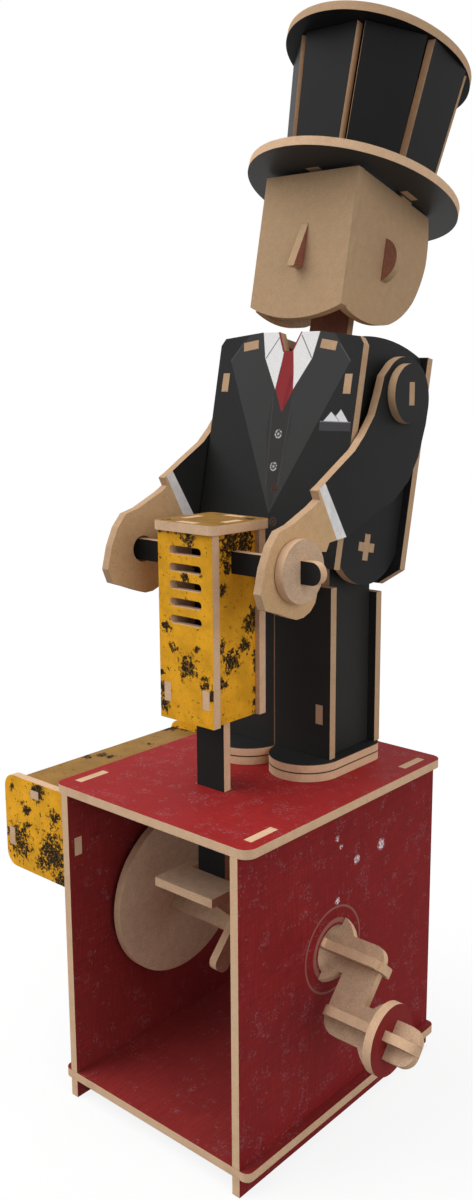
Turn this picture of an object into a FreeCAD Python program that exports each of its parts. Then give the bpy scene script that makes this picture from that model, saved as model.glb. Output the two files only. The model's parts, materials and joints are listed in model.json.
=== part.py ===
import FreeCAD, Part
import math
import os
import re

import Sketcher

# A hand-cranked automaton cut from flat sheet: a man in a hat holds a breaker hammer on a box.
# A crank turns a four-armed cam under the hammer's rod, and the lifted handle rocks the man
# through his arms.  Millimetres.  The driving dimensions are measured from the middle of the
# box's front edge on the ground: X to the crank, Y back, Z up.  The finished parts are set
# down around an origin on the ground under the middle of the whole object.

SIZES = (
    ("sheet", 3, "thickness of the cut sheet"),
    ("slot_gap", 0.05, "clearance around a tenon in its slot"),
    ("turning_gap", 0.08, "radial clearance of what turns in a hole"),
    ("sliding_gap", 0.5, "clearance around the sliding rod"),
    ("base_width", 78.75, "box, across the outer faces of its walls"),
    ("base_depth", 103.7, "box, front to back"),
    ("wall_height", 110.2, "box wall without its tenons"),
    ("top_overhang", 3.8, "top panel beyond each wall"),
    ("top_corner", 4, "top panel corner radius"),
    ("floor_height", 6.3, "underside of the floor panel"),
    ("floor_overhang", 3.5, "floor panel beyond each wall"),
    ("floor_corner", 2.5, "floor panel corner radius"),
    ("wall_tenon", 12, "length of a wall tenon"),
    ("wall_tenon_inset", 6, "wall tenon from the wall's front and back edges"),
    ("axle_depth", 45.7, "axle behind the front of the box"),
    ("axle_height", 62.7, "axle above the ground"),
    ("axle_half", 7.85, "half width of the crossed axle strips inside the box"),
    ("axle_end", 1.2, "axle beyond the left wall"),
    ("crank_angle", 47.5, "crank below the horizontal, towards the front"),
    ("collar_gap", 0.25, "crank collar off the wall"),
    ("collar_half", 10.7, "half width of the crank collar and of the knob flange"),
    ("collar_length", 5.8, "collar along the axle"),
    ("collar_radius", 11.45, "curve of the collar"),
    ("shaft_half", 6, "half width of the crank shaft and of the crank handle"),
    ("arm_near", 47, "crank arm, face towards the box"),
    ("arm_far", 59, "crank arm, outer face"),
    ("crank_throw", 18.2, "axle to handle"),
    ("crank_corner", 5.9, "crank plate corner radius"),
    ("arm_corner", 4.3, "crank arm, outer corner radius at the axle"),
    ("rib_tab", 1.4, "axle rib beyond the crank arm"),
    ("rib_tab_half", 3, "half width of that tab"),
    ("knob_inner", 68.3, "knob disc, face towards the crank"),
    ("knob_radius", 11, "knob disc radius"),
    ("flange_length", 6.2, "flange behind the knob disc"),
    ("flange_radius", 16, "curve of the knob flange"),
    ("handle_end", 81, "outer end of the crank handle"),
    ("flywheel_radius", 30.1, "flywheel disc radius"),
    ("flywheel_inset", 3.375, "flywheel off the left wall"),
    ("cam_tip", 20.9, "axle to the tip of a cam arm"),
    ("cam_half", 3.75, "half width of a cam arm"),
    ("cam_corner", 2.9, "cam arm tip corner radius"),
    ("cam_gap", 0.3, "cam to follower at rest, and around the cam in its relief slot"),
    ("follower_half", 13, "half width of the follower plate"),
    ("follower_front", 16.6, "front edge of the follower plate"),
    ("follower_back", 56, "back edge of the follower plate"),
    ("rod_half", 6.1, "half width of the hammer's rod"),
    ("rod_front", 30, "front face of the rod and of the handle bar"),
    ("brace_half", 9.3, "half width of the brace behind the rod"),
    ("brace_top", 104.5, "top of the brace"),
    ("hammer_half", 11.8, "half width of the hammer's front panel"),
    ("hammer_front", 19.65, "front face of the hammer"),
    ("hammer_depth", 24.35, "hammer, front to back"),
    ("hammer_bottom", 137.8, "bottom edge of the hammer"),
    ("hammer_top", 198.8, "underside of the hammer's top panel"),
    ("hammer_side_inset", 1.8, "hammer side panel in from the front panel's edge"),
    ("hammer_brim", 1.2, "hammer top panel beyond the panels below"),
    ("hammer_corner", 2, "hammer top panel corner radius"),
    ("hammer_tenon", 8, "length of the tenons in the hammer's top"),
    ("hammer_low_tenon", 6.4, "length of the low tenons in the hammer's front"),
    ("hammer_low_tenon_at", 5.7, "low tenons above the hammer's bottom edge"),
    ("vent_left", -6.8, "left end of a vent slot"),
    ("vent_right", 7, "right end of a vent slot"),
    ("vent_height", 2.7, "height of a vent slot"),
    ("vent_first", 5.85, "top vent below the hammer's top panel"),
    ("vent_pitch", 5.525, "vent to vent"),
    ("bar_bottom", 185.7, "underside of the handle bar"),
    ("bar_height", 7, "height of the handle bar"),
    ("bar_reach", 45.4, "middle to the tip of the handle bar"),
    ("hand_inner", 31.5, "arm plate, inner face"),
    ("washer_space", 0.3, "arm plate to its washer"),
    ("hand_washer_radius", 9.75, "hand washer radius"),
    ("hand_hole", 4.4, "hole in the hand around the bar"),
    ("hip_depth", 76.5, "hip axle behind the front of the box"),
    ("hip_height", 190.4, "hip axle above the ground"),
    ("torso_tilt", 11.5, "torso leaning back at rest"),
    ("hip_half", 4.4, "half width of the crossed hip strips"),
    ("leg_inner", 0.3, "leg panel from the middle"),
    ("leg_width", 24, "leg front panel width"),
    ("leg_ahead", 14.2, "front face of a leg in front of the hip axle"),
    ("leg_depth", 28.7, "leg, front to back"),
    ("leg_side_inset", 3.1, "leg side panel in from the front panel's edges"),
    ("leg_front_top", 178, "top edge of a leg's front panel"),
    ("leg_back_top", 173, "top edge of a leg's back panel"),
    ("leg_side_rise", 10, "leg side panel above the hip axle"),
    ("leg_side_corner", 9, "leg side panel top corner radius"),
    ("leg_tenon", 6.7, "length of the leg's panel tenons"),
    ("leg_tenon_at", 130.9, "bottom of the leg's panel tenons"),
    ("foot_tenon", 8, "length of the tenons through the shoes"),
    ("foot_middle", 13.25, "middle of a shoe"),
    ("foot_half", 13.1, "half width and toe radius of a shoe"),
    ("toe_ahead", 12.6, "centre of the toe's curve in front of the hip axle"),
    ("heel_behind", 14.5, "back edge of a shoe behind the hip axle"),
    ("foot_corner", 5, "shoe heel corner radius"),
    ("chest_front", 19.9, "chest in front of the hip axle"),
    ("chest_half", 30.75, "half width of the chest and back panels"),
    ("chest_bottom", 8.6, "chest below the hip axle"),
    ("chest_corner", 63.4, "chest's outer top corners"),
    ("chest_slope_half", 29, "inner end of the corner cut"),
    ("chest_slope", 65.8, "height of the inner end of the corner cut"),
    ("chest_top_half", 12.6, "half width of the level top edge"),
    ("chest_top", 67.7, "chest top edge"),
    ("collar_notch", 61.3, "bottom of the collar notch"),
    ("notch_top_half", 4.5, "half width of the collar notch at the top edge"),
    ("notch_low_half", 1.45, "half width of the collar notch at its bottom"),
    ("back_gap", 17.5, "front face of the back panel behind the hip axle"),
    ("back_top", 67.2, "back panel top edge"),
    ("back_bottom", 11.6, "back panel below the hip axle"),
    ("back_cut_half", 22.4, "inner end of the back panel's lower corner cut"),
    ("back_cut", 5.9, "outer end of the back panel's lower corner cut"),
    ("side_inner", 25, "torso side panel, inner face"),
    ("side_round", 18.9, "curve of the torso side panel's bottom"),
    ("side_round_at", 6.3, "centre of that curve above the hip axle"),
    ("side_top", 66.5, "front and back top corners of the torso side panel"),
    ("side_arch", 72, "curve of the torso side panel's top"),
    ("side_tenon_low", 47.4, "bottom of the torso side tenons"),
    ("side_tenon_high", 53.8, "top of the torso side tenons"),
    ("yoke_tilt", 8.7, "slope of a shoulder support"),
    ("yoke_at", 16.75, "middle of a shoulder support's tenons"),
    ("yoke_height", 63.25, "height of a shoulder support there"),
    ("yoke_tenon", 6.6, "length of a shoulder support's tenons"),
    ("yoke_inner", 5, "inner end of a shoulder support"),
    ("shoulder_back", 0.3, "shoulder pivot behind the hip axle"),
    ("shoulder_up", 51.5, "shoulder pivot above the hip axle"),
    ("pin_height", 7.5, "height of the flat shoulder pin"),
    ("pin_head", 13, "height of its head inside the torso"),
    ("shoulder_washer_radius", 9.7, "shoulder washer radius"),
    ("spacer_radius", 8, "washer between torso and arm"),
    ("head_front", 19.9, "face in front of the hip axle's line"),
    ("head_half", 19.55, "half width of the head"),
    ("head_top", 120.8, "top of the face"),
    ("head_back", 22.9, "back of the head behind the hip axle's line"),
    ("head_back_top", 117.6, "top back corner of a head side"),
    ("jaw_corner", 76.5, "outer ends of the chin's curve"),
    ("chin_radius", 47.6, "curve of the chin"),
    ("neck_front", -0.3, "front face of the neck and ear plate"),
    ("neck_half", 8.3, "half width of the neck"),
    ("neck_bottom", 50, "bottom of the neck plate"),
    ("neck_shoulder", 84, "where the neck plate widens inside the head"),
    ("ear_low", 89.2, "bottom of an ear"),
    ("ear_high", 103.4, "top of an ear"),
    ("ear_radius", 7.4, "curve of an ear"),
    ("crest_low", 111, "top of the neck plate inside the head"),
    ("nose_top", 103.8, "top of the nose"),
    ("nose_bottom", 89, "bottom of the nose"),
    ("nose_reach", 4.7, "nose in front of the face"),
    ("nose_droop", 0.6, "tip of the nose below its root"),
    ("nose_tenon_low", 92, "bottom of the nose tenon"),
    ("nose_tenon_high", 100, "top of the nose tenon"),
    ("hat_height", 121.5, "hat's reference point above the hip axle"),
    ("hat_tilt", 5.5, "hat leaning back on the head"),
    ("head_tenon_at", 8.6, "middle of the head's tenons in the brim"),
    ("head_tenon", 6, "length of the head's tenons in the brim"),
    ("head_tenon_gap", 0.65, "clearance along those tenons in the brim"),
    ("brim_drop", 1.2, "underside of the brim below the reference point"),
    ("brim_middle", 4.1, "middle of the brim behind the reference point"),
    ("brim_half_width", 36, "brim, half across"),
    ("brim_half_length", 39.2, "brim, half front to back"),
    ("crown_height", 44.2, "brim to top disc"),
    ("crown_middle", 4.3, "middle of the crown behind the reference point"),
    ("crown_half_width", 31.6, "crown at its top, half across"),
    ("crown_half_length", 30, "crown at its top, half front to back"),
    ("crown_taper", 0.845, "width of the crown's foot over its top"),
    ("crown_angle", 39.4, "angle that a crown panel covers"),
    ("disc_half_width", 31.2, "hat's top disc, half across"),
    ("disc_half_length", 35.6, "hat's top disc, half front to back"),
    ("compressor_reach", 73.7, "outer edge of the compressor from the middle"),
    ("compressor_front", 2.4, "front face of the compressor"),
    ("compressor_depth", 83.6, "compressor, front to back"),
    ("compressor_bottom", 75.3, "lower edge of the compressor's ends"),
    ("compressor_height", 33.7, "height of the compressor's ends"),
    ("compressor_corner", 5, "corner radius of the compressor's ends"),
    ("compressor_rim", 1.7, "end panel beyond the outer panel"),
    ("compressor_lid", 103, "underside of the compressor's top panel"),
    ("compressor_skirt", 79, "lower edge of the compressor's outer panel"),
    ("compressor_wall_tenon", 6.3, "length of the compressor's tenons in the wall"),
    ("compressor_wall_tenon_at", 88.2, "bottom of those tenons"),
    ("compressor_outer_tenon", 6.6, "length of the outer panel's tenons"),
    ("compressor_outer_tenon_at", 82.9, "bottom of those tenons"),
    ("compressor_lid_tenon", 4.5, "length of the top panel's tenons"),
    ("compressor_lid_tenon_at", 59.5, "outer end of those tenons from the middle"),
)
ALIASES = {row[0] for row in SIZES}

# Arm outline at rest, counter-clockwise in (back, up) from the shoulder pivot: the sleeve.
SLEEVE_TOP = ((-6.5, 9.6), (-11.1, 5.6), (-13, 0.3), (-16.1, -6.6), (-21.3, -12.7), (-26.3, -17.4),
              (-36.2, -23.3), (-42.2, -27), (-45.2, -28.6), (-43.8, -31.4))
SLEEVE_BOTTOM = ((-30.4, -44.2), (-15.4, -38.6), (-4.4, -34.8), (4.1, -28.9), (9.6, -21), (13.7, -10.5),
                 (15, -4.8))
# The same for the hand, from the middle of the handle bar.
HAND = ((8.3, 18.2), (-1.7, 13.7), (-7.2, 12.3), (-10.8, 8.2), (-13.6, 2.2), (-15.5, -5.2), (-13.6, -10),
        (-7.8, -12), (-3.2, -13.8), (0.6, -15.1), (3.9, -15), (7.3, -13.7), (9.7, -11.3), (11.6, -5.3),
        (11, 4.4), (15, 3.9), (16.5, 6.6))
SLEEVE_HEAD_RADIUS = "14"

# Head side below its back corner, in (back, up) from the hip axle: start and radius of each arc.
JAW_AND_SKULL = ((None, 75.7, 37.8), (7.3, 76.2, 30.9), (20.3, 87.5, 41.2), (25, 101.3, 45.4))

doc = FreeCAD.newDocument("crank_automaton")
sheet = doc.addObject("Spreadsheet::Sheet", "Sizes")
nodes = []


def fill_sheet():
    """Write each driving dimension with its meaning and alias."""
    for row, (alias, size, meaning) in enumerate(SIZES, 1):
        sheet.set(f"A{row}", meaning)
        sheet.set(f"B{row}", str(size))
        sheet.setAlias(f"B{row}", alias)
    doc.recompute()


def value(text):
    """Number that an expression in the sheet's aliases gives."""
    return float(sheet.evalExpression(str(text)))


def bound(text):
    """The same expression, written for an object outside the sheet."""
    return re.sub(r"[a-z_]+", lambda word: f"Sizes.{word[0]}" if word[0] in ALIASES else word[0], str(text))


def minus(text):
    return f"-({text})"


def move(x="0", y="0", z="0"):
    return FreeCAD.Placement(FreeCAD.Vector(value(x), value(y), value(z)), FreeCAD.Rotation())


def turn(axis, degrees):
    return FreeCAD.Placement(FreeCAD.Vector(), FreeCAD.Rotation(FreeCAD.Vector(*axis), value(degrees)))


def box(left, low, right, high):
    """Rectangle's corners, counter-clockwise."""
    return [(left, low), (right, low), (right, high), (left, high)]


def mortise(left, low, right, high):
    """Slot for a tenon, with its clearance all round."""
    return box(f"{left} - slot_gap", f"{low} - slot_gap", f"{right} + slot_gap", f"{high} + slot_gap")


def cross_slot(half):
    """Slot for two crossed strips at a plate's origin."""
    long = f"{half} + slot_gap"
    short = "sheet / 2 + slot_gap"
    corners = []
    for x_sign, y_sign in ((1, 1), (-1, 1), (-1, -1), (1, -1)):
        points = [(short, long), (short, short), (long, short)]
        if x_sign * y_sign > 0:
            points.reverse()
        corners += [(x if x_sign > 0 else minus(x), y if y_sign > 0 else minus(y)) for x, y in points]
    return corners


def round_slot(left, right, level, height):
    """Slot with round ends; its middle line is at the given level."""
    half = f"({height}) / 2"
    return [
        (f"{left} + {half}", f"{level} - {half}"),
        (f"{right} - {half}", f"{level} - {half}", half, "half"),
        (f"{right} - {half}", f"{level} + {half}"),
        (f"{left} + {half}", f"{level} + {half}", half, "half"),
    ]


def mirrored(points):
    """Outline on the other side of the vertical axis, counter-clockwise again."""
    flipped = []
    for index in range(len(points) - 1, -1, -1):
        x, y = points[index][:2]
        flipped.append((minus(x), y) + tuple(points[index - 1][2:]))
    return flipped


def bind(sketch, constraint, text):
    index = sketch.addConstraint(constraint)
    sketch.setExpression(f"Constraints[{index}]", bound(text))


def place_point(sketch, edge, end, x, y):
    """Hold one sketch point at the coordinates that two expressions give."""
    bind(sketch, Sketcher.Constraint("DistanceX", -1, 1, edge, end, value(x)), x)
    bind(sketch, Sketcher.Constraint("DistanceY", -1, 1, edge, end, value(y)), y)


def arc_between(start, stop, radius, bulge):
    """Arc from start to stop; returns it with the ends at which it starts and stops."""
    chord = stop - start
    across = FreeCAD.Vector(-chord.y, chord.x, 0).normalize()
    clockwise = bulge == "in"
    rise = math.sqrt(max(radius**2 - (chord.Length / 2) ** 2, 0))
    centre = (start + stop) / 2 + across * (-rise if clockwise else rise)
    first, last = (stop, start) if clockwise else (start, stop)
    angle_first = math.atan2(first.y - centre.y, first.x - centre.x)
    angle_last = math.atan2(last.y - centre.y, last.x - centre.x)
    if angle_last < angle_first:
        angle_last += 2 * math.pi
    circle = Part.Circle(centre, FreeCAD.Vector(0, 0, 1), radius)
    return Part.ArcOfCircle(circle, angle_first, angle_last), ((2, 1) if clockwise else (1, 2))


def draw_outline(sketch, points):
    """Draw a closed outline.  A point may name the radius and bulge of the arc that follows it:
    out or in of a counter-clockwise outline, or half for a half circle."""
    corners = [FreeCAD.Vector(value(point[0]), value(point[1]), 0) for point in points]
    ends = []
    first = sketch.GeometryCount
    for index, point in enumerate(points):
        start, stop = corners[index], corners[(index + 1) % len(points)]
        if len(point) == 2:
            sketch.addGeometry(Part.LineSegment(start, stop), False)
            ends.append((1, 2))
        else:
            arc, arc_ends = arc_between(start, stop, value(point[2]), point[3])
            sketch.addGeometry(arc, False)
            ends.append(arc_ends)
    for index, point in enumerate(points):
        edge, after = first + index, (index + 1) % len(points)
        sketch.addConstraint(
            Sketcher.Constraint("Coincident", edge, ends[index][1], first + after, ends[after][0])
        )
        place_point(sketch, edge, ends[index][0], point[0], point[1])
        if len(point) == 4 and point[3] != "half":
            bind(sketch, Sketcher.Constraint("Radius", edge, value(point[2])), point[2])
        elif len(point) == 4:
            level = abs(corners[index].y - corners[after].y) < abs(corners[index].x - corners[after].x)
            kind, text = ("DistanceY", point[1]) if level else ("DistanceX", point[0])
            bind(sketch, Sketcher.Constraint(kind, -1, 1, edge, 3, value(text)), text)


def draw_circle(sketch, x, y, radius):
    centre = FreeCAD.Vector(value(x), value(y), 0)
    edge = sketch.addGeometry(Part.Circle(centre, FreeCAD.Vector(0, 0, 1), value(radius)), False)
    place_point(sketch, edge, 3, x, y)
    bind(sketch, Sketcher.Constraint("Radius", edge, value(radius)), radius)


def draw_ellipse(sketch, x, y, half_width, half_length):
    """Ellipse whose axes lie along the sketch's own."""
    centre = FreeCAD.Vector(value(x), value(y), 0)
    wide = FreeCAD.Vector(value(half_width), 0, 0)
    long = FreeCAD.Vector(0, value(half_length), 0)
    upright = long.Length >= wide.Length
    major, minor = (long, wide) if upright else (wide, long)
    edge = sketch.addGeometry(Part.Ellipse(centre + major, centre + minor, centre), False)
    sketch.exposeInternalGeometry(edge)
    place_point(sketch, edge, 3, x, y)
    major_text, minor_text = (half_length, half_width) if upright else (half_width, half_length)
    sketch.addConstraint(Sketcher.Constraint("Vertical" if upright else "Horizontal", edge + 1))
    bind(sketch, Sketcher.Constraint("Distance", edge + 1, 2 * major.Length), f"2 * ({major_text})")
    bind(sketch, Sketcher.Constraint("Distance", edge + 2, 2 * minor.Length), f"2 * ({minor_text})")


def new_sketch(body, name, plane):
    sketch = body.newObject("Sketcher::SketchObject", f"{name}_outline")
    support = [feature for feature in body.Origin.OriginFeatures if feature.Role == plane][0]
    sketch.AttachmentSupport = [(support, "")]
    sketch.MapMode = "FlatFace"
    return sketch


def edges_at(shape, plane, x, y):
    """Names of the straight edges that run along a plate's thickness through one outline point."""
    pick = {"XY_Plane": (0, 1), "XZ_Plane": (0, 2), "YZ_Plane": (1, 2)}[plane]
    names = []
    for number, edge in enumerate(shape.Edges, 1):
        spots = [(vertex.Point[pick[0]], vertex.Point[pick[1]]) for vertex in edge.Vertexes]
        if len(spots) == 2 and all(math.dist(spot, (x, y)) < 1e-4 for spot in spots):
            names.append(f"Edge{number}")
    return names


def plate(name, plane, outline, frame, at="0", holes=(), rounds=(), keep=True):
    """One piece cut from the sheet.

    plane is the body's own plane that the outline lies in, at the distance of its lower face
    along the plane's normal, holes are outlines or circles (x, y, radius), and rounds are
    outline corners (x, y, radius).  A plate that isn't kept is a member of a set.
    """
    body = doc.addObject("PartDesign::Body", name)
    sketch = new_sketch(body, name, plane)
    if isinstance(outline, tuple):
        (draw_circle if len(outline) == 3 else draw_ellipse)(sketch, *outline)
    else:
        draw_outline(sketch, outline)
    for hole in holes:
        if isinstance(hole, tuple):
            draw_circle(sketch, *hole)
        else:
            draw_outline(sketch, hole)
    doc.recompute()
    pad = body.newObject("PartDesign::Pad", f"{name}_cut")
    pad.Profile = sketch
    pad.setExpression("Length", "Sizes.sheet")
    pad.Reversed = plane == "XZ_Plane"
    sketch.Visibility = False
    doc.recompute()
    tip = pad
    for radius in sorted({corner[2] for corner in rounds}):
        names = []
        for x, y, size in rounds:
            if size == radius:
                names += edges_at(tip.Shape, plane, value(x), value(y))
        fillet = body.newObject("PartDesign::Fillet", f"{name}_corners")
        fillet.Base = (tip, names)
        fillet.setExpression("Radius", bound(radius))
        doc.recompute()
        tip = fillet
    step = {"XY_Plane": move(z=at), "XZ_Plane": move(y=at), "YZ_Plane": move(x=at)}[plane]
    body.Placement = frame * step
    if keep:
        nodes.append(body)
    return body


def group(name, members):
    """Identical pieces that share one node as separate solids."""
    compound = doc.addObject("Part::Compound", name)
    compound.Links = members
    doc.recompute()
    nodes.append(compound)


def object_middle():
    """Middle of the whole object on the ground: between the compressor's outer edge and the
    crank's end, and between the box's front and the back of the hat."""
    lean = math.radians(value("torso_tilt"))
    hat_lean = math.radians(value("torso_tilt + hat_tilt"))
    disc_back = value("brim_middle + disc_half_length")
    disc_top = value("crown_height + 2 * sheet - brim_drop")
    back = value("hip_depth") + value("hat_height") * math.sin(lean)
    back += disc_back * math.cos(hat_lean) + disc_top * math.sin(hat_lean)
    return value("handle_end - compressor_reach") / 2, back / 2


fill_sheet()
MIDDLE_X, MIDDLE_Y = object_middle()
GROUND = move(-MIDDLE_X, -MIDDLE_Y)
AXLE = GROUND * move(y="axle_depth", z="axle_height") * turn((1, 0, 0), "180 + crank_angle")
TORSO = GROUND * move(y="hip_depth", z="hip_height") * turn((1, 0, 0), "-torso_tilt")
HAT = TORSO * move(z="hat_height") * turn((1, 0, 0), "-hat_tilt")

WALL_OUT = "base_width / 2"
WALL_IN = "base_width / 2 - sheet"
TOP_FACE = "wall_height + sheet"
SHOE_TOP = "wall_height + 3 * sheet"
SIDES = (("left", 1), ("right", -1))


def across(side, inner):
    """Lower face of an upright side plate whose inner face is this far from the middle."""
    return inner if side > 0 else f"-({inner} + sheet)"


def facing(side, points):
    return points if side > 0 else mirrored(points)


# ---- box ----

AXLE_HOLE = "sqrt(axle_half ^ 2 + (sheet / 2) ^ 2) + turning_gap"
TENON_BACK = "base_depth - wall_tenon_inset - wall_tenon"
LEG_SIDES = ("leg_inner + leg_side_inset", "leg_inner + leg_width - leg_side_inset - sheet")
LEG_FRONT = "hip_depth - leg_ahead"
FOOT_TENON_FRONT = f"{LEG_FRONT} + leg_depth / 2 - foot_tenon / 2"


def wall_outline():
    """Wall in (back, up), with two tenons on top and the lap for the floor panel in front."""
    front_end = "wall_tenon_inset + wall_tenon"
    back_end = "base_depth - wall_tenon_inset"
    floor_low = "floor_height - slot_gap"
    floor_high = "floor_height + sheet + slot_gap"
    lap = "base_depth / 2 + slot_gap"
    return [
        ("0", "0"),
        ("base_depth", "0"),
        ("base_depth", "wall_height"),
        (back_end, "wall_height"),
        (back_end, TOP_FACE),
        (TENON_BACK, TOP_FACE),
        (TENON_BACK, "wall_height"),
        (front_end, "wall_height"),
        (front_end, TOP_FACE),
        ("wall_tenon_inset", TOP_FACE),
        ("wall_tenon_inset", "wall_height"),
        ("0", "wall_height"),
        ("0", floor_high),
        (lap, floor_high),
        (lap, floor_low),
        ("0", floor_low),
    ]


def build_walls():
    axle_hole = ("axle_depth", "axle_height", AXLE_HOLE)
    tenon_top = "compressor_wall_tenon_at + compressor_wall_tenon"
    back = "compressor_front + compressor_depth - sheet"
    compressor_slots = [
        mortise(front, "compressor_wall_tenon_at", f"{front} + sheet", tenon_top)
        for front in ("compressor_front", back)
    ]
    left_holes = [axle_hole] + compressor_slots
    plate("base_right_wall", "YZ_Plane", wall_outline(), GROUND, WALL_IN, [axle_hole])
    plate("base_left_wall", "YZ_Plane", wall_outline(), GROUND, minus(WALL_OUT), left_holes)


def build_floor_panel():
    """Floor with a lap for each wall, cut from the back."""
    edge = "base_width / 2 + floor_overhang"
    lap = "base_depth / 2 - slot_gap"
    lap_out = f"{WALL_OUT} + slot_gap"
    lap_in = f"{WALL_IN} - slot_gap"
    right = [
        (edge, "0"),
        (edge, "base_depth"),
        (lap_out, "base_depth"),
        (lap_out, lap),
        (lap_in, lap),
        (lap_in, "base_depth"),
    ]
    outline = right + [(minus(x), y) for x, y in reversed(right)]
    corners = [(x, y, "floor_corner") for x in (edge, minus(edge)) for y in ("0", "base_depth")]
    plate("base_floor_panel", "XY_Plane", outline, GROUND, "floor_height", rounds=corners)


def build_top_panel():
    """Top with slots for the wall tenons, the leg tenons and the rod."""
    edge = "base_width / 2 + top_overhang"
    foot_tenon_back = f"{FOOT_TENON_FRONT} + foot_tenon"
    holes = []
    for front in ("wall_tenon_inset", TENON_BACK):
        holes.append(mortise(WALL_IN, front, WALL_OUT, f"{front} + wall_tenon"))
        holes.append(mortise(minus(WALL_OUT), front, minus(WALL_IN), f"{front} + wall_tenon"))
    for _, side in SIDES:
        for inner in LEG_SIDES:
            left = across(side, inner)
            holes.append(mortise(left, FOOT_TENON_FRONT, f"{left} + sheet", foot_tenon_back))
    rod_edge = "rod_half + sliding_gap"
    holes.append(
        box(minus(rod_edge), "rod_front - sliding_gap", rod_edge, "rod_front + sheet + sliding_gap")
    )
    corners = [(x, y, "top_corner") for x in (edge, minus(edge)) for y in ("0", "base_depth")]
    outline = box(minus(edge), "0", edge, "base_depth")
    plate("base_top_panel", "XY_Plane", outline, GROUND, "wall_height", holes, corners)


# ---- compressor on the left wall ----

COMPRESSOR_TOP = "compressor_bottom + compressor_height"
COMPRESSOR_BACK = "compressor_front + compressor_depth"
LID_TENON = ("-compressor_lid_tenon_at", "-compressor_lid_tenon_at + compressor_lid_tenon")
OUTER_PANEL = "-compressor_reach + compressor_rim"
OUTER_TENON_TOP = "compressor_outer_tenon_at + compressor_outer_tenon"


def build_compressor_ends():
    wall_tenon_top = "compressor_wall_tenon_at + compressor_wall_tenon"
    outline = [
        ("-compressor_reach", "compressor_bottom"),
        (minus(WALL_OUT), "compressor_bottom"),
        (minus(WALL_OUT), "compressor_wall_tenon_at"),
        (minus(WALL_IN), "compressor_wall_tenon_at"),
        (minus(WALL_IN), wall_tenon_top),
        (minus(WALL_OUT), wall_tenon_top),
        (minus(WALL_OUT), COMPRESSOR_TOP),
        ("-compressor_reach", COMPRESSOR_TOP),
    ]
    corners = [("-compressor_reach", z, "compressor_corner") for z in ("compressor_bottom", COMPRESSOR_TOP)]
    holes = [
        mortise(LID_TENON[0], "compressor_lid", LID_TENON[1], "compressor_lid + sheet"),
        mortise(OUTER_PANEL, "compressor_outer_tenon_at", f"{OUTER_PANEL} + sheet", OUTER_TENON_TOP),
    ]
    for name, front in (("front", "compressor_front"), ("back", f"{COMPRESSOR_BACK} - sheet")):
        plate(f"compressor_{name}_panel", "XZ_Plane", outline, GROUND, front, holes, corners)


def with_end_tenons(left, right, front, back, low, high):
    """Plate between two end panels, with one tenon through each of them."""
    inside_front = f"{front} + sheet"
    inside_back = f"{back} - sheet"
    return [
        (left, inside_front),
        (low, inside_front),
        (low, front),
        (high, front),
        (high, inside_front),
        (right, inside_front),
        (right, inside_back),
        (high, inside_back),
        (high, back),
        (low, back),
        (low, inside_back),
        (left, inside_back),
    ]


def build_compressor_cover():
    lid = with_end_tenons(
        OUTER_PANEL, minus(WALL_OUT), "compressor_front", COMPRESSOR_BACK, LID_TENON[0], LID_TENON[1]
    )
    plate("compressor_top_panel", "XY_Plane", lid, GROUND, "compressor_lid")
    outer = with_end_tenons(
        "compressor_skirt",
        "compressor_lid",
        "compressor_front",
        COMPRESSOR_BACK,
        "compressor_outer_tenon_at",
        OUTER_TENON_TOP,
    )
    turned = [(y, z) for z, y in reversed(outer)]
    plate("compressor_outer_panel", "YZ_Plane", turned, GROUND, OUTER_PANEL)


# ---- crank, axle, flywheel and cam ----

COLLAR_START = "base_width / 2 + collar_gap"
SHAFT_START = f"{COLLAR_START} + collar_length"
AXLE_LEFT = "-base_width / 2 - axle_end"
FLANGE_START = "knob_inner - flange_length"
HANDLE_CORNER = "shaft_half - sheet / 2 - 2 * slot_gap"
RIB_LAP = "(arm_near + handle_end) / 2"


def build_crank_plate():
    """Axle strip, collar, arm, knob flange and handle in one plate; along the axle, down the throw."""
    near = "crank_throw - shaft_half"
    far = "crank_throw + shaft_half"
    lap = "sheet / 2 + slot_gap"
    outline = [
        (AXLE_LEFT, "-axle_half"),
        (COLLAR_START, "-axle_half"),
        (COLLAR_START, "-collar_half", "collar_radius", "out"),
        (SHAFT_START, "-shaft_half"),
        ("arm_far", "-shaft_half"),
        ("arm_far", minus(lap)),
        ("-slot_gap", minus(lap)),
        ("-slot_gap", lap),
        ("arm_far", lap),
        ("arm_far", near),
        (FLANGE_START, near, "flange_radius", "out"),
        ("knob_inner", "crank_throw - collar_half"),
        ("knob_inner", near),
        ("handle_end", near),
        ("handle_end", f"crank_throw - ({lap})"),
        (RIB_LAP, f"crank_throw - ({lap})"),
        (RIB_LAP, f"crank_throw + {lap}"),
        ("handle_end", f"crank_throw + {lap}"),
        ("handle_end", far),
        ("knob_inner", far),
        ("knob_inner", "crank_throw + collar_half", "flange_radius", "out"),
        (FLANGE_START, far),
        ("arm_near", far),
        ("arm_near", "shaft_half"),
        (SHAFT_START, "shaft_half", "collar_radius", "out"),
        (COLLAR_START, "collar_half"),
        (COLLAR_START, "axle_half"),
        (AXLE_LEFT, "axle_half"),
    ]
    corners = [("arm_far", "-shaft_half", "arm_corner"), ("arm_near", far, "crank_corner")]
    corners += [("handle_end", level, HANDLE_CORNER) for level in (near, far)]
    plate("crank_plate", "XY_Plane", outline, AXLE, "-sheet / 2", rounds=corners)


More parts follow.
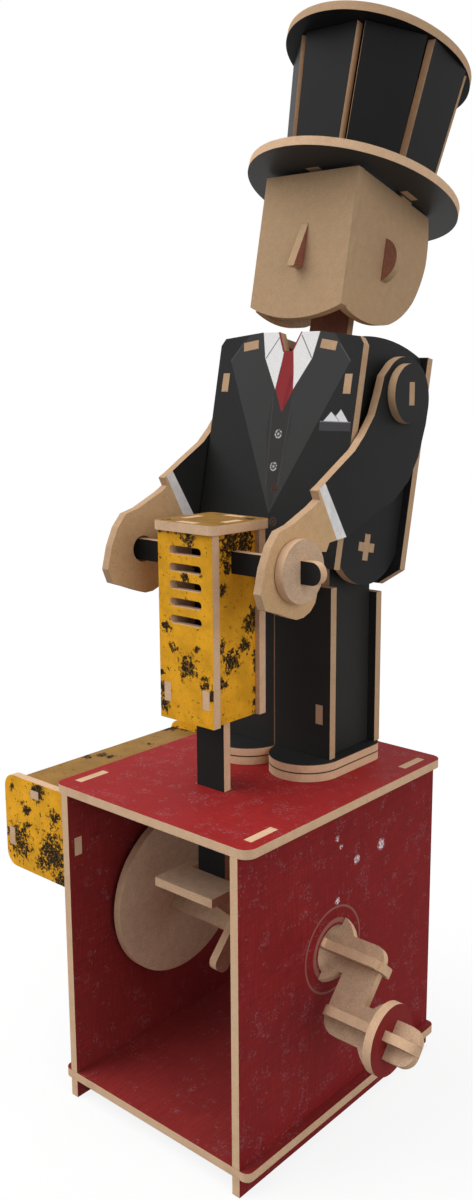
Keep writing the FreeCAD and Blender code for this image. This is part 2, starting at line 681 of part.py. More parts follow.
def build_axle_rib():
    """Strip across the crank plate, lapped over it on the left half of the axle."""
    lap = "sheet / 2 + slot_gap"
    tab = "arm_far + rib_tab"
    outline = [
        (AXLE_LEFT, lap),
        ("slot_gap", lap),
        ("slot_gap", minus(lap)),
        (AXLE_LEFT, minus(lap)),
        (AXLE_LEFT, "-axle_half"),
        (COLLAR_START, "-axle_half"),
        (COLLAR_START, "-shaft_half"),
        ("arm_far", "-shaft_half"),
        ("arm_far", "-rib_tab_half"),
        (tab, "-rib_tab_half"),
        (tab, "rib_tab_half"),
        ("arm_far", "rib_tab_half"),
        ("arm_far", "shaft_half"),
        (COLLAR_START, "shaft_half"),
        (COLLAR_START, "axle_half"),
        (AXLE_LEFT, "axle_half"),
    ]
    plate("axle_rib", "XZ_Plane", outline, AXLE, "-sheet / 2")


def build_handle_rib():
    lap = "sheet / 2 + slot_gap"
    start = "arm_near + slot_gap"
    outline = [
        (start, lap),
        (f"{RIB_LAP} + 2 * slot_gap", lap),
        (f"{RIB_LAP} + 2 * slot_gap", minus(lap)),
        (start, minus(lap)),
        (start, "-shaft_half"),
        ("handle_end", "-shaft_half"),
        ("handle_end", "shaft_half"),
        (start, "shaft_half"),
    ]
    corners = [("handle_end", side, "crank_corner") for side in ("shaft_half", "-shaft_half")]
    corners += [(start, side, HANDLE_CORNER) for side in ("shaft_half", "-shaft_half")]
    plate("handle_rib", "XZ_Plane", outline, AXLE, "crank_throw - sheet / 2", rounds=corners)


def build_axle_discs():
    knob = AXLE * move(y="crank_throw")
    plate("knob_disc", "YZ_Plane", ("0", "0", "knob_radius"), knob, "knob_inner", [cross_slot("shaft_half")])
    flywheel_at = "-base_width / 2 + sheet + flywheel_inset"
    plate(
        "flywheel_disc",
        "YZ_Plane",
        ("0", "0", "flywheel_radius"),
        AXLE,
        flywheel_at,
        [cross_slot("axle_half")],
    )


def build_cam():
    """Four equal arms with rounded tips, in line with the crossed strips of the axle."""
    outline = [
        ("cam_half", "cam_half"),
        ("cam_half", "cam_tip"),
        ("-cam_half", "cam_tip"),
        ("-cam_half", "cam_half"),
        ("-cam_tip", "cam_half"),
        ("-cam_tip", "-cam_half"),
        ("-cam_half", "-cam_half"),
        ("-cam_half", "-cam_tip"),
        ("cam_half", "-cam_tip"),
        ("cam_half", "-cam_half"),
        ("cam_tip", "-cam_half"),
        ("cam_tip", "cam_half"),
    ]
    tips = [(x, y, "cam_corner") for x, y in outline if "tip" in x + y]
    waists = [(x, y, "cam_half") for x, y in outline if "tip" not in x + y]
    plate("star_cam", "YZ_Plane", outline, AXLE, "-sheet / 2", [cross_slot("axle_half")], tips + waists)


# ---- hammer ----

CAM_TOP = (
    "(cam_tip - cam_corner) * sin(crank_angle) + (cam_half - cam_corner) * cos(crank_angle) + cam_corner"
)
FOLLOWER_BOTTOM = f"axle_height + {CAM_TOP} + cam_gap"
RELIEF_HALF = "sheet / 2 + cam_gap"
BRACE_BACK = "rod_front + 2 * sheet"
HAMMER_BACK = "hammer_front + hammer_depth"
HAMMER_MIDDLE = "hammer_front + hammer_depth / 2"
HAMMER_SIDE = "hammer_half - hammer_side_inset - sheet"
LOW_TENON = "hammer_bottom + hammer_low_tenon_at"
LOW_TENON_TOP = f"{LOW_TENON} + hammer_low_tenon"
HAMMER_LID = "hammer_top + sheet"
VENTS = 5


def build_follower():
    """Plate around the rod's foot.  A slot, open at the back, lets the tips of the cam pass."""
    slot_half = "brace_half + slot_gap"
    slot_back = f"{BRACE_BACK} + slot_gap"
    right = [
        ("follower_half", "follower_front"),
        ("follower_half", "follower_back"),
        (RELIEF_HALF, "follower_back"),
        (RELIEF_HALF, slot_back),
        (slot_half, slot_back),
        (slot_half, "rod_front - slot_gap"),
    ]
    outline = right + [(minus(x), y) for x, y in reversed(right)]
    plate("follower_plate", "XY_Plane", outline, GROUND, FOLLOWER_BOTTOM)


def build_rod():
    """Rod and handle bar in one plate, and the brace behind the rod's foot, notched over the cam."""
    bar_top = "bar_bottom + bar_height"
    straight = "bar_reach - bar_height / 2"
    outline = [
        ("-rod_half", FOLLOWER_BOTTOM),
        ("rod_half", FOLLOWER_BOTTOM),
        ("rod_half", "bar_bottom"),
        (straight, "bar_bottom", "bar_height / 2", "half"),
        (straight, bar_top),
        (minus(straight), bar_top, "bar_height / 2", "half"),
        (minus(straight), "bar_bottom"),
        ("-rod_half", "bar_bottom"),
    ]
    plate("handle_and_rod", "XZ_Plane", outline, GROUND, "rod_front")
    cam_level = f"axle_height + sqrt((cam_tip + cam_gap) ^ 2 - (axle_depth - ({BRACE_BACK})) ^ 2)"
    right = [
        (RELIEF_HALF, cam_level),
        (RELIEF_HALF, FOLLOWER_BOTTOM),
        ("brace_half", FOLLOWER_BOTTOM),
        ("brace_half", "brace_top"),
    ]
    brace = right + [(minus(x), z) for x, z in reversed(right)]
    plate("rod_brace", "XZ_Plane", brace, GROUND, "rod_front + sheet")


def hammer_face(tenon_half):
    """Front or back panel with its tenon into the top panel."""
    return [
        ("-hammer_half", "hammer_bottom"),
        ("hammer_half", "hammer_bottom"),
        ("hammer_half", "hammer_top"),
        (tenon_half, "hammer_top"),
        (tenon_half, HAMMER_LID),
        (minus(tenon_half), HAMMER_LID),
        (minus(tenon_half), "hammer_top"),
        ("-hammer_half", "hammer_top"),
    ]


def build_hammer_faces():
    side_slots = []
    for _, side in SIDES:
        left = across(side, HAMMER_SIDE)
        side_slots.append(mortise(left, LOW_TENON, f"{left} + sheet", LOW_TENON_TOP))
    vents = [
        round_slot("vent_left", "vent_right", f"hammer_top - vent_first - {row} * vent_pitch", "vent_height")
        for row in range(VENTS)
    ]
    outline = hammer_face("hammer_tenon / 2")
    plate("hammer_front_panel", "XZ_Plane", outline, GROUND, "hammer_front", side_slots + vents)
    plate("hammer_back_panel", "XZ_Plane", outline, GROUND, f"{HAMMER_BACK} - sheet", side_slots)


def build_hammer_sides():
    """Side panels with tenons into the front, back and top panels, around the handle bar."""
    front, back = "hammer_front + sheet", f"{HAMMER_BACK} - sheet"
    tenon_front = f"{HAMMER_MIDDLE} - hammer_tenon / 2"
    tenon_back = f"{HAMMER_MIDDLE} + hammer_tenon / 2"
    outline = [
        (front, "hammer_bottom"),
        (back, "hammer_bottom"),
        (back, LOW_TENON),
        (HAMMER_BACK, LOW_TENON),
        (HAMMER_BACK, LOW_TENON_TOP),
        (back, LOW_TENON_TOP),
        (back, "hammer_top"),
        (tenon_back, "hammer_top"),
        (tenon_back, HAMMER_LID),
        (tenon_front, HAMMER_LID),
        (tenon_front, "hammer_top"),
        (front, "hammer_top"),
        (front, LOW_TENON_TOP),
        ("hammer_front", LOW_TENON_TOP),
        ("hammer_front", LOW_TENON),
        (front, LOW_TENON),
    ]
    bar = mortise("rod_front", "bar_bottom", "rod_front + sheet", "bar_bottom + bar_height")
    for name, side in SIDES:
        plate(f"hammer_{name}_panel", "YZ_Plane", outline, GROUND, across(side, HAMMER_SIDE), [bar])


def build_hammer_lid():
    edge = "hammer_half + hammer_brim"
    front, back = "hammer_front - hammer_brim", f"{HAMMER_BACK} + hammer_brim"
    holes = [
        mortise("-hammer_tenon / 2", level, "hammer_tenon / 2", f"{level} + sheet")
        for level in ("hammer_front", f"{HAMMER_BACK} - sheet")
    ]
    for _, side in SIDES:
        left = across(side, HAMMER_SIDE)
        tenon_front = f"{HAMMER_MIDDLE} - hammer_tenon / 2"
        holes.append(mortise(left, tenon_front, f"{left} + sheet", f"{tenon_front} + hammer_tenon"))
    corners = [(x, y, "hammer_corner") for x in (edge, minus(edge)) for y in (front, back)]
    outline = box(minus(edge), front, edge, back)
    plate("hammer_top_panel", "XY_Plane", outline, GROUND, "hammer_top", holes, corners)


WASHER_INNER = "hand_inner + sheet + washer_space"
BAR_LEVEL = "bar_bottom + bar_height / 2"


def build_hand_washers():
    frame = GROUND * move(y="rod_front + sheet / 2", z=BAR_LEVEL)
    slot = mortise("-sheet / 2", "-bar_height / 2", "sheet / 2", "bar_height / 2")
    members = [
        plate(
            f"hand_washer_{name}",
            "YZ_Plane",
            ("0", "0", "hand_washer_radius"),
            frame,
            across(side, WASHER_INNER),
            [slot],
            keep=False,
        )
        for name, side in SIDES
    ]
    group("hand_washers", members)


# ---- shoes and legs ----

LEG_OUTER = "leg_inner + leg_width"
LEG_BACK = f"{LEG_FRONT} + leg_depth"
LEG_TENON_TOP = "leg_tenon_at + leg_tenon"
FOOT_BACK = "hip_depth + heel_behind"


def build_shoes():
    """Two equal layers a shoe: a round toe and a square heel with rounded corners."""
    outline = [
        ("foot_middle - foot_half", "hip_depth - toe_ahead", "foot_half", "half"),
        ("foot_middle + foot_half", "hip_depth - toe_ahead"),
        ("foot_middle + foot_half", FOOT_BACK),
        ("foot_middle - foot_half", FOOT_BACK),
    ]
    holes = [
        mortise(inner, FOOT_TENON_FRONT, f"{inner} + sheet", f"{FOOT_TENON_FRONT} + foot_tenon")
        for inner in LEG_SIDES
    ]
    heels = [(f"foot_middle {sign} foot_half", FOOT_BACK, "foot_corner") for sign in "+-"]
    for name, side in SIDES:
        corners = [(x if side > 0 else minus(x), y, radius) for x, y, radius in heels]
        cuts = [facing(side, hole) for hole in holes]
        for layer, level in (("lower", TOP_FACE), ("upper", f"{TOP_FACE} + sheet")):
            shape = facing(side, outline)
            plate(f"{name}_shoe_{layer}", "XY_Plane", shape, GROUND, level, cuts, corners)


def build_leg_faces():
    """Front and back panels; the outer side's tenon shows in front, both sides' behind."""
    slots = [mortise(inner, "leg_tenon_at", f"{inner} + sheet", LEG_TENON_TOP) for inner in LEG_SIDES]
    for name, side in SIDES:
        for face, level, top, cuts in (
            ("front", LEG_FRONT, "leg_front_top", slots[1:]),
            ("back", f"{LEG_BACK} - sheet", "leg_back_top", slots),
        ):
            outline = facing(side, box("leg_inner", SHOE_TOP, LEG_OUTER, top))
            holes = [facing(side, cut) for cut in cuts]
            plate(f"{name}_leg_{face}_panel", "XZ_Plane", outline, GROUND, level, holes)


def leg_side_outline(tenon_in_front):
    front, back = f"{LEG_FRONT} + sheet", f"{LEG_BACK} - sheet"
    top = "hip_height + leg_side_rise"
    foot_back = f"{FOOT_TENON_FRONT} + foot_tenon"
    outline = [
        (front, SHOE_TOP),
        (FOOT_TENON_FRONT, SHOE_TOP),
        (FOOT_TENON_FRONT, "wall_height"),
        (foot_back, "wall_height"),
        (foot_back, SHOE_TOP),
        (back, SHOE_TOP),
        (back, "leg_tenon_at"),
        (LEG_BACK, "leg_tenon_at"),
        (LEG_BACK, LEG_TENON_TOP),
        (back, LEG_TENON_TOP),
        (back, top),
        (front, top),
    ]
    if tenon_in_front:
        outline += [
            (front, LEG_TENON_TOP),
            (LEG_FRONT, LEG_TENON_TOP),
            (LEG_FRONT, "leg_tenon_at"),
            (front, "leg_tenon_at"),
        ]
    corners = [(edge, top, "leg_side_corner") for edge in (front, back)]
    return outline, corners


def build_leg_sides():
    hip_hole = ("hip_depth", "hip_height", "sqrt(hip_half ^ 2 + (sheet / 2) ^ 2) + turning_gap")
    for name, side in SIDES:
        for face, inner in zip(("inner", "outer"), LEG_SIDES):
            outline, corners = leg_side_outline(face == "outer")
            level = across(side, inner)
            plate(f"{name}_leg_{face}_panel", "YZ_Plane", outline, GROUND, level, [hip_hole], corners)


# ---- torso ----

SIDE_OUTER = "side_inner + sheet"
CHEST_INSIDE = "-chest_front + sheet"


def build_hip_axle():
    """Two strips lapped at the middle, one level and one upright, flush with the torso sides."""
    lap = "sheet / 2 + slot_gap"
    end = SIDE_OUTER
    level = [
        (minus(end), "-hip_half"),
        (end, "-hip_half"),
        (end, minus(lap)),
        ("-slot_gap", minus(lap)),
        ("-slot_gap", lap),
        (end, lap),
        (end, "hip_half"),
        (minus(end), "hip_half"),
    ]
    plate("hip_axle_flat", "XY_Plane", level, TORSO, "-sheet / 2")
    plate("hip_axle_rib", "XZ_Plane", mirrored(level), TORSO, "-sheet / 2")


def yoke_slot(sign):
    """Sloping slot for one shoulder support in a torso panel's own plane."""
    half = "yoke_tenon / 2 + slot_gap"
    thick = "sheet / 2 + slot_gap"
    corners = []
    for along, up in ((minus(half), minus(thick)), (half, minus(thick)), (half, thick), (minus(half), thick)):
        x = f"yoke_at + ({along}) * cos(yoke_tilt) + ({up}) * sin(yoke_tilt)"
        y = f"yoke_height - ({along}) * sin(yoke_tilt) + ({up}) * cos(yoke_tilt)"
        corners.append((x, y))
    return facing(sign, corners)


def build_chest_and_back():
    chest_right = [
        ("chest_half", "-chest_bottom"),
        ("chest_half", "chest_corner"),
        ("chest_slope_half", "chest_slope"),
        ("chest_top_half", "chest_top"),
        ("notch_top_half", "chest_top"),
        ("notch_low_half", "collar_notch"),
    ]
    chest = chest_right + [(minus(x), y) for x, y in reversed(chest_right)]
    back_right = [
        ("back_cut_half", "-back_bottom"),
        ("chest_half", "-back_cut"),
        ("chest_half", "back_top"),
    ]
    back = back_right + [(minus(x), y) for x, y in reversed(back_right)]
    slots = []
    for _, side in SIDES:
        left = across(side, "side_inner")
        slots.append(mortise(left, "side_tenon_low", f"{left} + sheet", "side_tenon_high"))
        slots.append(yoke_slot(side))
    plate("chest_panel", "XZ_Plane", chest, TORSO, "-chest_front", slots)
    plate("back_panel", "XZ_Plane", back, TORSO, "back_gap", slots)


def build_torso_sides():
    """Side panels with an arched top and a round bottom about the hip."""
    drop = "sqrt(side_round ^ 2 - ({}) ^ 2)"
    front_low = f"side_round_at - {drop.format(CHEST_INSIDE)}"
    back_low = f"side_round_at - {drop.format('back_gap')}"
    outline = [
        (CHEST_INSIDE, front_low, "side_round", "out"),
        ("back_gap", back_low),
        ("back_gap", "side_tenon_low"),
        ("back_gap + sheet", "side_tenon_low"),
        ("back_gap + sheet", "side_tenon_high"),
        ("back_gap", "side_tenon_high"),
        ("back_gap", "side_top", "side_arch", "out"),
        (CHEST_INSIDE, "side_top"),
        (CHEST_INSIDE, "side_tenon_high"),
        ("-chest_front", "side_tenon_high"),
        ("-chest_front", "side_tenon_low"),
        (CHEST_INSIDE, "side_tenon_low"),
    ]
    pin_hole = ("shoulder_back", "shoulder_up", "sqrt((pin_height / 2) ^ 2 + (sheet / 2) ^ 2) + turning_gap")
    for name, side in SIDES:
        holes = [cross_slot("hip_half"), pin_hole]
        plate(f"torso_{name}_panel", "YZ_Plane", outline, TORSO, across(side, "side_inner"), holes)


def build_shoulder_supports():
    """Sloping plates between chest and back that hold the neck plate between them."""
    inner = "(yoke_inner - yoke_at) / cos(yoke_tilt)"
    outer = "(side_inner - slot_gap - sheet / 2 * sin(yoke_tilt) - yoke_at) / cos(yoke_tilt)"
    neck = "(neck_half + sheet * sin(yoke_tilt) + slot_gap - yoke_at) / cos(yoke_tilt)"
    tenon = "yoke_tenon / 2"
    neck_front = "neck_front - slot_gap"
    neck_back = "neck_front + sheet + slot_gap"
    outline = [
        (inner, CHEST_INSIDE),
        (minus(tenon), CHEST_INSIDE),
        (minus(tenon), "-chest_front"),
        (tenon, "-chest_front"),
        (tenon, CHEST_INSIDE),
        (outer, CHEST_INSIDE),
        (outer, "back_gap"),
        (tenon, "back_gap"),
        (tenon, "back_gap + sheet"),
        (minus(tenon), "back_gap + sheet"),
        (minus(tenon), "back_gap"),
        (inner, "back_gap"),
        (inner, neck_back),
        (neck, neck_back),
        (neck, neck_front),
        (inner, neck_front),
    ]
    for name, side in SIDES:
        at = "yoke_at" if side > 0 else "-yoke_at"
        tilt = "yoke_tilt" if side > 0 else "-yoke_tilt"
        frame = TORSO * move(x=at, z="yoke_height") * turn((0, 1, 0), tilt)
        shape = facing(side, outline)
        plate(f"{name}_shoulder_support", "XY_Plane", shape, frame, "-sheet / 2")


# ---- head ----

HEAD_INSIDE = "-head_front + sheet"
BRIM_BOTTOM = "hat_height - brim_drop / cos(hat_tilt)"


def head_top_at(back):
    """Top edge of a head side: falls evenly from the face to the back corner."""
    return f"head_top + (head_back_top - head_top) * ({back} + head_front) / (head_back + head_front)"


def brim_top_at(back):
    """Height of the brim's upper face over a point of the head."""
    return f"{BRIM_BOTTOM} - ({back}) * tan(hat_tilt) + sheet / cos(hat_tilt)"


def build_face():
    outline = [
        ("-head_half", "jaw_corner", "chin_radius", "out"),
        ("head_half", "jaw_corner"),
        ("head_half", "head_top"),
        ("-head_half", "head_top"),
    ]
    nose_slot = mortise("-sheet / 2", "nose_tenon_low", "sheet / 2", "nose_tenon_high")
    plate("face_panel", "XZ_Plane", outline, TORSO, "-head_front", [nose_slot])
    nose = [
        ("-head_front", "nose_top"),
        ("-head_front - nose_reach", "nose_bottom - nose_droop"),
        ("-head_front", "nose_bottom"),
        ("-head_front", "nose_tenon_low"),
        (HEAD_INSIDE, "nose_tenon_low"),
        (HEAD_INSIDE, "nose_tenon_high"),
        ("-head_front", "nose_tenon_high"),
    ]
    plate("nose", "YZ_Plane", nose, TORSO, "-sheet / 2")


def build_head_sides():
    """Head sides: jaw and skull as four arcs, an ear slot, and a tenon into the brim."""
    tenon_front = "head_tenon_at - head_tenon / 2"
    tenon_back = "head_tenon_at + head_tenon / 2"
    outline = [
        (HEAD_INSIDE if back is None else str(back), str(up), str(radius), "out")
        for back, up, radius in JAW_AND_SKULL
    ]
    outline += [
        ("head_back", "head_back_top"),
        (tenon_back, head_top_at(tenon_back)),
        (tenon_back, brim_top_at(tenon_back)),
        (tenon_front, brim_top_at(tenon_front)),
        (tenon_front, head_top_at(tenon_front)),
        (HEAD_INSIDE, head_top_at(HEAD_INSIDE)),
    ]
    ear_slot = mortise("neck_front", "ear_low", "neck_front + sheet", "ear_high")
    for name, side in SIDES:
        plate(f"head_{name}_panel", "YZ_Plane", outline, TORSO, across(side, "head_half - sheet"), [ear_slot])


def build_neck_and_ears():
    """One plate across the head: neck below, ears out through the sides."""
    inside = "head_half - sheet - slot_gap"
    right = [
        ("neck_half", "neck_bottom"),
        ("neck_half", "neck_shoulder"),
        (inside, "neck_shoulder"),
        (inside, "ear_low"),
        ("head_half", "ear_low", "ear_radius", "out"),
        ("head_half", "ear_high"),
        (inside, "ear_high"),
        (inside, "crest_low"),
    ]
    left = mirrored(right)
    outline = right + left
    plate("neck_and_ears", "XZ_Plane", outline, TORSO, "neck_front")


# ---- hat ----

BRIM_TOP = "sheet - brim_drop"
DISC_BOTTOM = f"{BRIM_TOP} + crown_height"


def build_brim_and_disc():
    slot_front = "head_tenon_at - head_tenon / 2 - head_tenon_gap"
    slot_back = "head_tenon_at + head_tenon / 2 + head_tenon_gap"
    slots = []
    for _, side in SIDES:
        left = across(side, "head_half - sheet")
        slots.append(box(f"{left} - slot_gap", slot_front, f"{left} + sheet + slot_gap", slot_back))
    brim = ("0", "brim_middle", "brim_half_width", "brim_half_length")
    plate("hat_brim", "XY_Plane", brim, HAT, "-brim_drop", slots)
    disc = ("0", "brim_middle", "disc_half_width", "disc_half_length")
    plate("hat_top_disc", "XY_Plane", disc, HAT, DISC_BOTTOM)


def crown_point(degrees):
    """Point of the crown's top outline, from its middle; 0 is the left side, 90 the back."""
    angle = math.radians(degrees)
    across_hat = value("crown_half_width") * math.cos(angle)
    return FreeCAD.Vector(across_hat, value("crown_half_length") * math.sin(angle), 0)


def crown_panel(name, degrees):
    """Flat trapezoid that leans outwards from the brim to the top disc, square-cut."""
    half_turn = value("crown_angle") / 2
    first, last = crown_point(degrees - half_turn), crown_point(degrees + half_turn)
    middle = (first + last) / 2
    along = (last - first).normalize()
    outward = FreeCAD.Vector(along.y, -along.x, 0)
    lean = (1 - value("crown_taper")) * middle.dot(outward)
    slant = math.atan2(lean, value("crown_height"))
    angles = [f"{degrees} {sign} crown_angle / 2" for sign in "-+"]
    spread = [f"(cos({angles[1]}) - cos({angles[0]}))", f"(sin({angles[1]}) - sin({angles[0]}))"]
    wide = f"sqrt((crown_half_width * {spread[0]}) ^ 2 + (crown_half_length * {spread[1]}) ^ 2) / 2"
    length = f"(crown_height - sheet * {math.sin(slant)}) / {math.cos(slant)}"
    narrow = f"crown_taper * {wide}"
    outline = [(minus(narrow), "0"), (narrow, "0"), (wide, length), (minus(wide), length)]
    foot = middle * value("crown_taper") + FreeCAD.Vector(0, value("crown_middle"), value(BRIM_TOP))
    up = outward * math.sin(slant) + FreeCAD.Vector(0, 0, math.cos(slant))
    inward = up.cross(along)
    axes = FreeCAD.Rotation(along, inward, up, "ZXY")
    frame = HAT * FreeCAD.Placement(foot, axes)
    return plate(name, "XZ_Plane", outline, frame, keep=False)


def build_crown():
    for name, directions in (
        ("front", (270,)),
        ("back", (90,)),
        ("side", (0, 180)),
        ("corner", (45, 135, 225, 315)),
    ):
        members = [crown_panel(f"crown_{name}_{degrees}", degrees) for degrees in directions]
        group(f"hat_{name}_panel" if len(members) == 1 else f"hat_{name}_panels", members)


# ---- arms ----

SHOULDER_Y = "hip_depth + shoulder_back * cos(torso_tilt) + shoulder_up * sin(torso_tilt)"
SHOULDER_Z = "hip_height - shoulder_back * sin(torso_tilt) + shoulder_up * cos(torso_tilt)"
HAND_Y = f"(rod_front + sheet / 2 - ({SHOULDER_Y}))"
HAND_Z = f"({BAR_LEVEL} - ({SHOULDER_Z}))"


def build_arms():
    """Arm plates: sleeve from the shoulder pivot, hand about the handle bar."""
    frame = GROUND * move(y=SHOULDER_Y, z=SHOULDER_Z)
    outline = [(str(y), str(z)) for y, z in SLEEVE_TOP]
    outline += [(f"{HAND_Y} + {y}", f"{HAND_Z} + {z}") for y, z in HAND]
    outline += [(str(y), str(z)) for y, z in SLEEVE_BOTTOM]
    outline[-1] += (SLEEVE_HEAD_RADIUS, "out")
    pin_slot = mortise("-sheet / 2", "-pin_height / 2", "sheet / 2", "pin_height / 2")
    hand_hole = (HAND_Y, HAND_Z, "hand_hole")
    for name, side in SIDES:
        inner = across(side, "hand_inner")
        plate(f"{name}_arm", "YZ_Plane", outline, frame, inner, [pin_slot, hand_hole])


def build_shoulder_fasteners():
    """Flat pin with a head inside the torso, a spacer, and a washer outside each arm."""
    frame = GROUND * move(y=SHOULDER_Y, z=SHOULDER_Z)
    slot = mortise("-sheet / 2", "-pin_height / 2", "sheet / 2", "pin_height / 2")
    head = "side_inner - slot_gap"
    pin = [
        (f"{head} - sheet", "-pin_head / 2"),
        (head, "-pin_head / 2"),
        (head, "-pin_height / 2"),
        (f"{WASHER_INNER} + sheet", "-pin_height / 2"),
        (f"{WASHER_INNER} + sheet", "pin_height / 2"),
        (head, "pin_height / 2"),
        (head, "pin_head / 2"),
        (f"{head} - sheet", "pin_head / 2"),
    ]
    spacer_inner = f"({SIDE_OUTER} + hand_inner - sheet) / 2"
    for name, side in SIDES:
        plate(f"{name}_shoulder_pin", "XZ_Plane", facing(side, pin), frame, "-sheet / 2")
        washers = [
            plate(
                f"{name}_{kind}_washer",
                "YZ_Plane",
                ("0", "0", radius),
                frame,
                across(side, inner),
                [slot],
                keep=False,
            )
            for kind, radius, inner in (
                ("outer", "shoulder_washer_radius", WASHER_INNER),
                ("spacer", "spacer_radius", spacer_inner),
            )
        ]
        group(f"{name}_shoulder_washers", washers)


def check_and_write():
    """Stop on any failed object or bad shape, then write one STEP file per node."""
    doc.recompute()
    failed = [item.Name for item in doc.Objects if {"Invalid", "Error"} & set(item.State)]
    bad = [node.Label for node in nodes if node.Shape.isNull() or not node.Shape.isValid()]
    if failed or bad:
        raise RuntimeError(f"failed objects {failed}, bad shapes {bad}")
    os.makedirs("parts", exist_ok=True)
    for node in nodes:
        node.Shape.exportStep(os.path.join("parts", f"{node.Label}.step"))


build_walls()
build_floor_panel()
build_top_panel()
build_compressor_ends()
build_compressor_cover()
build_crank_plate()
build_axle_rib()
build_handle_rib()
build_axle_discs()
build_cam()
build_follower()
build_rod()
build_hammer_faces()
build_hammer_sides()
build_hammer_lid()
build_hand_washers()
build_shoes()
build_leg_faces()
build_leg_sides()
build_hip_axle()
build_chest_and_back()
build_torso_sides()
build_shoulder_supports()
build_face()
build_head_sides()
build_neck_and_ears()
build_brim_and_disc()
build_crown()
build_arms()
build_shoulder_fasteners()
check_and_write()
print(f"{len(nodes)} nodes")
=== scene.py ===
"""Looks of the crank automaton: printed and bare board on every plate, studio, camera."""

import json
import math

import bpy
from mathutils import Matrix, Vector


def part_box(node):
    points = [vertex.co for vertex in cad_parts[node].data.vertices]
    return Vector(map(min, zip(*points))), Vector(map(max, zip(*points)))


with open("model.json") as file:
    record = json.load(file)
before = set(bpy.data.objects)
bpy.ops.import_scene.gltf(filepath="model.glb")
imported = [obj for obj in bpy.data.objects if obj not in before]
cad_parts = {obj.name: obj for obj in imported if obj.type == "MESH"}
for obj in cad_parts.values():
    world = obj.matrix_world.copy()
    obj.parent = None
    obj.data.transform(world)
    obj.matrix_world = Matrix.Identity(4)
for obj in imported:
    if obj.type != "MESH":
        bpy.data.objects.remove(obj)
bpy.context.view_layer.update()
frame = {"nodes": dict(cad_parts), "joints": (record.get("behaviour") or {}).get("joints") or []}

MM = 0.001
SHEET = 3 * MM
nodes = frame["nodes"]
joints = {joint["name"]: joint for joint in frame["joints"]}

# Where things are, from the frame.  BOX_ORIGIN is the middle of the box's front edge on the ground.
top_low, top_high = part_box("base_top_panel")
BOX_ORIGIN = Vector(((top_low.x + top_high.x) / 2, top_low.y, 0))
HIP = Vector(joints["torso_rock"]["pos_m"])
AXLE = Vector(joints["crank_turn"]["pos_m"])
TORSO_TILT = math.radians(11.5)
HAT_CENTRE = (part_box("hat_top_disc")[0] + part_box("hat_brim")[1]) / 2

# Photograph's camera, in the frame of BOX_ORIGIN.
CAMERA_AT = (240.104 * MM, -217.492 * MM, 245.704 * MM)
CAMERA_AZIMUTH = 38.725
CAMERA_ELEVATION = 10.461
CAMERA_ROLL = 0.341
FOCAL_PIXELS = 1100.609
OPTIC_X, OPTIC_Y = 310.781, 581.110
PHOTO_WIDTH, PHOTO_HEIGHT = 473, 1200


def srgb(text):
    """Linear colour of a hexadecimal one."""
    parts = [int(text[i : i + 2], 16) / 255 for i in (1, 3, 5)]
    return tuple(c / 12.92 if c <= 0.04045 else ((c + 0.055) / 1.055) ** 2.4 for c in parts) + (1,)


def scaled(colour, factor):
    return tuple(c * factor for c in colour[:3]) + (1,)


# Bare board: faces, cut edges and the marks on them.
BARE = srgb("#ccac90")
SKIN = srgb("#b69776")
HAND = srgb("#cfaa80")
BARE_EDGE = srgb("#dab694")
# The figure's cut edges: less pink than the box's, and darker, which is painted shade.
FIGURE_EDGE_PAINTED_SHADE = srgb("#bd9c7c")
HEAD_EDGE = srgb("#b79978")
SCORCH = srgb("#a27c5c")
SEAM = srgb("#2e1a14")

# Red and brown prints, and what shows where they are worn.
RED = srgb("#872526")
RED_LEVEL = srgb("#992829")
INSIDE_RED = srgb("#872c2b")
MAROON = srgb("#935c4d")
# Front faces of the ears and neck: the maroon print lightened, which is painted light.
EAR_PAINTED_LIGHT = srgb("#a06e5c")
# Back face of the neck and ears: the maroon print darkened, which is painted shade.
NECK_PAINTED_SHADE = srgb("#5e4848")
AXLE_RING = srgb("#96675c")
SCRATCH = srgb("#a08288")
CHIP = srgb("#f0e4ea")

# Yellow prints and their rust.
YELLOW = srgb("#e9a829")
# The tops' yellow: the yellow print darkened, which is painted shade.
YELLOW_PAINTED_SHADE = srgb("#967038")
RUST_DARK = srgb("#1d1712")
RUST_WORN = srgb("#5a4e3c")
RUST_BROWN = srgb("#5a4018")

# Hat and suit.
HAT = srgb("#212121")
# Underside of the brim: the hat's charcoal lightened, which is painted reflection.
BRIM_UNDER_PAINTED_REFLECTION = srgb("#2f2e2d")
CHARCOAL = srgb("#272727")
# Legs: the suit's charcoal made lighter and browner, which is painted sheen and painted reflection.
LEG_PAINTED_SHEEN = srgb("#2d2c2b")
LAPEL = srgb("#3b3b3b")
LAPEL_EDGE = srgb("#6a6a6a")
VEST = srgb("#353333")
VEST_FOLD = srgb("#5a5858")
WHITE = srgb("#ecebea")
COLLAR_LINE = srgb("#77767a")
TIE = srgb("#8e2f33")
TIE_CREASE = srgb("#5a191c")
POCKET = srgb("#434244")
POCKET_EDGE = srgb("#7b7b7d")
HANDKERCHIEF = srgb("#d9d8dc")
HANDKERCHIEF_FOLD = srgb("#88888c")
CUFF_DARK = srgb("#dedcdb")
CUFF_LIGHT = srgb("#f0efee")
# Rim and face of a button.
SILVER_BUTTON = (srgb("#c2c2c2"), srgb("#4a4a4a"))
BROWN_BUTTON = (srgb("#523c32"), srgb("#382c28"))

# Specular level of board and most prints, of the suit's ink, and of the brim's underside.
GLOSS = 0.05
INK_GLOSS = 0.05
BRIM_GLOSS = 0.16

BEVEL_SAMPLES = 4
BUMP_STRENGTH = 0.6


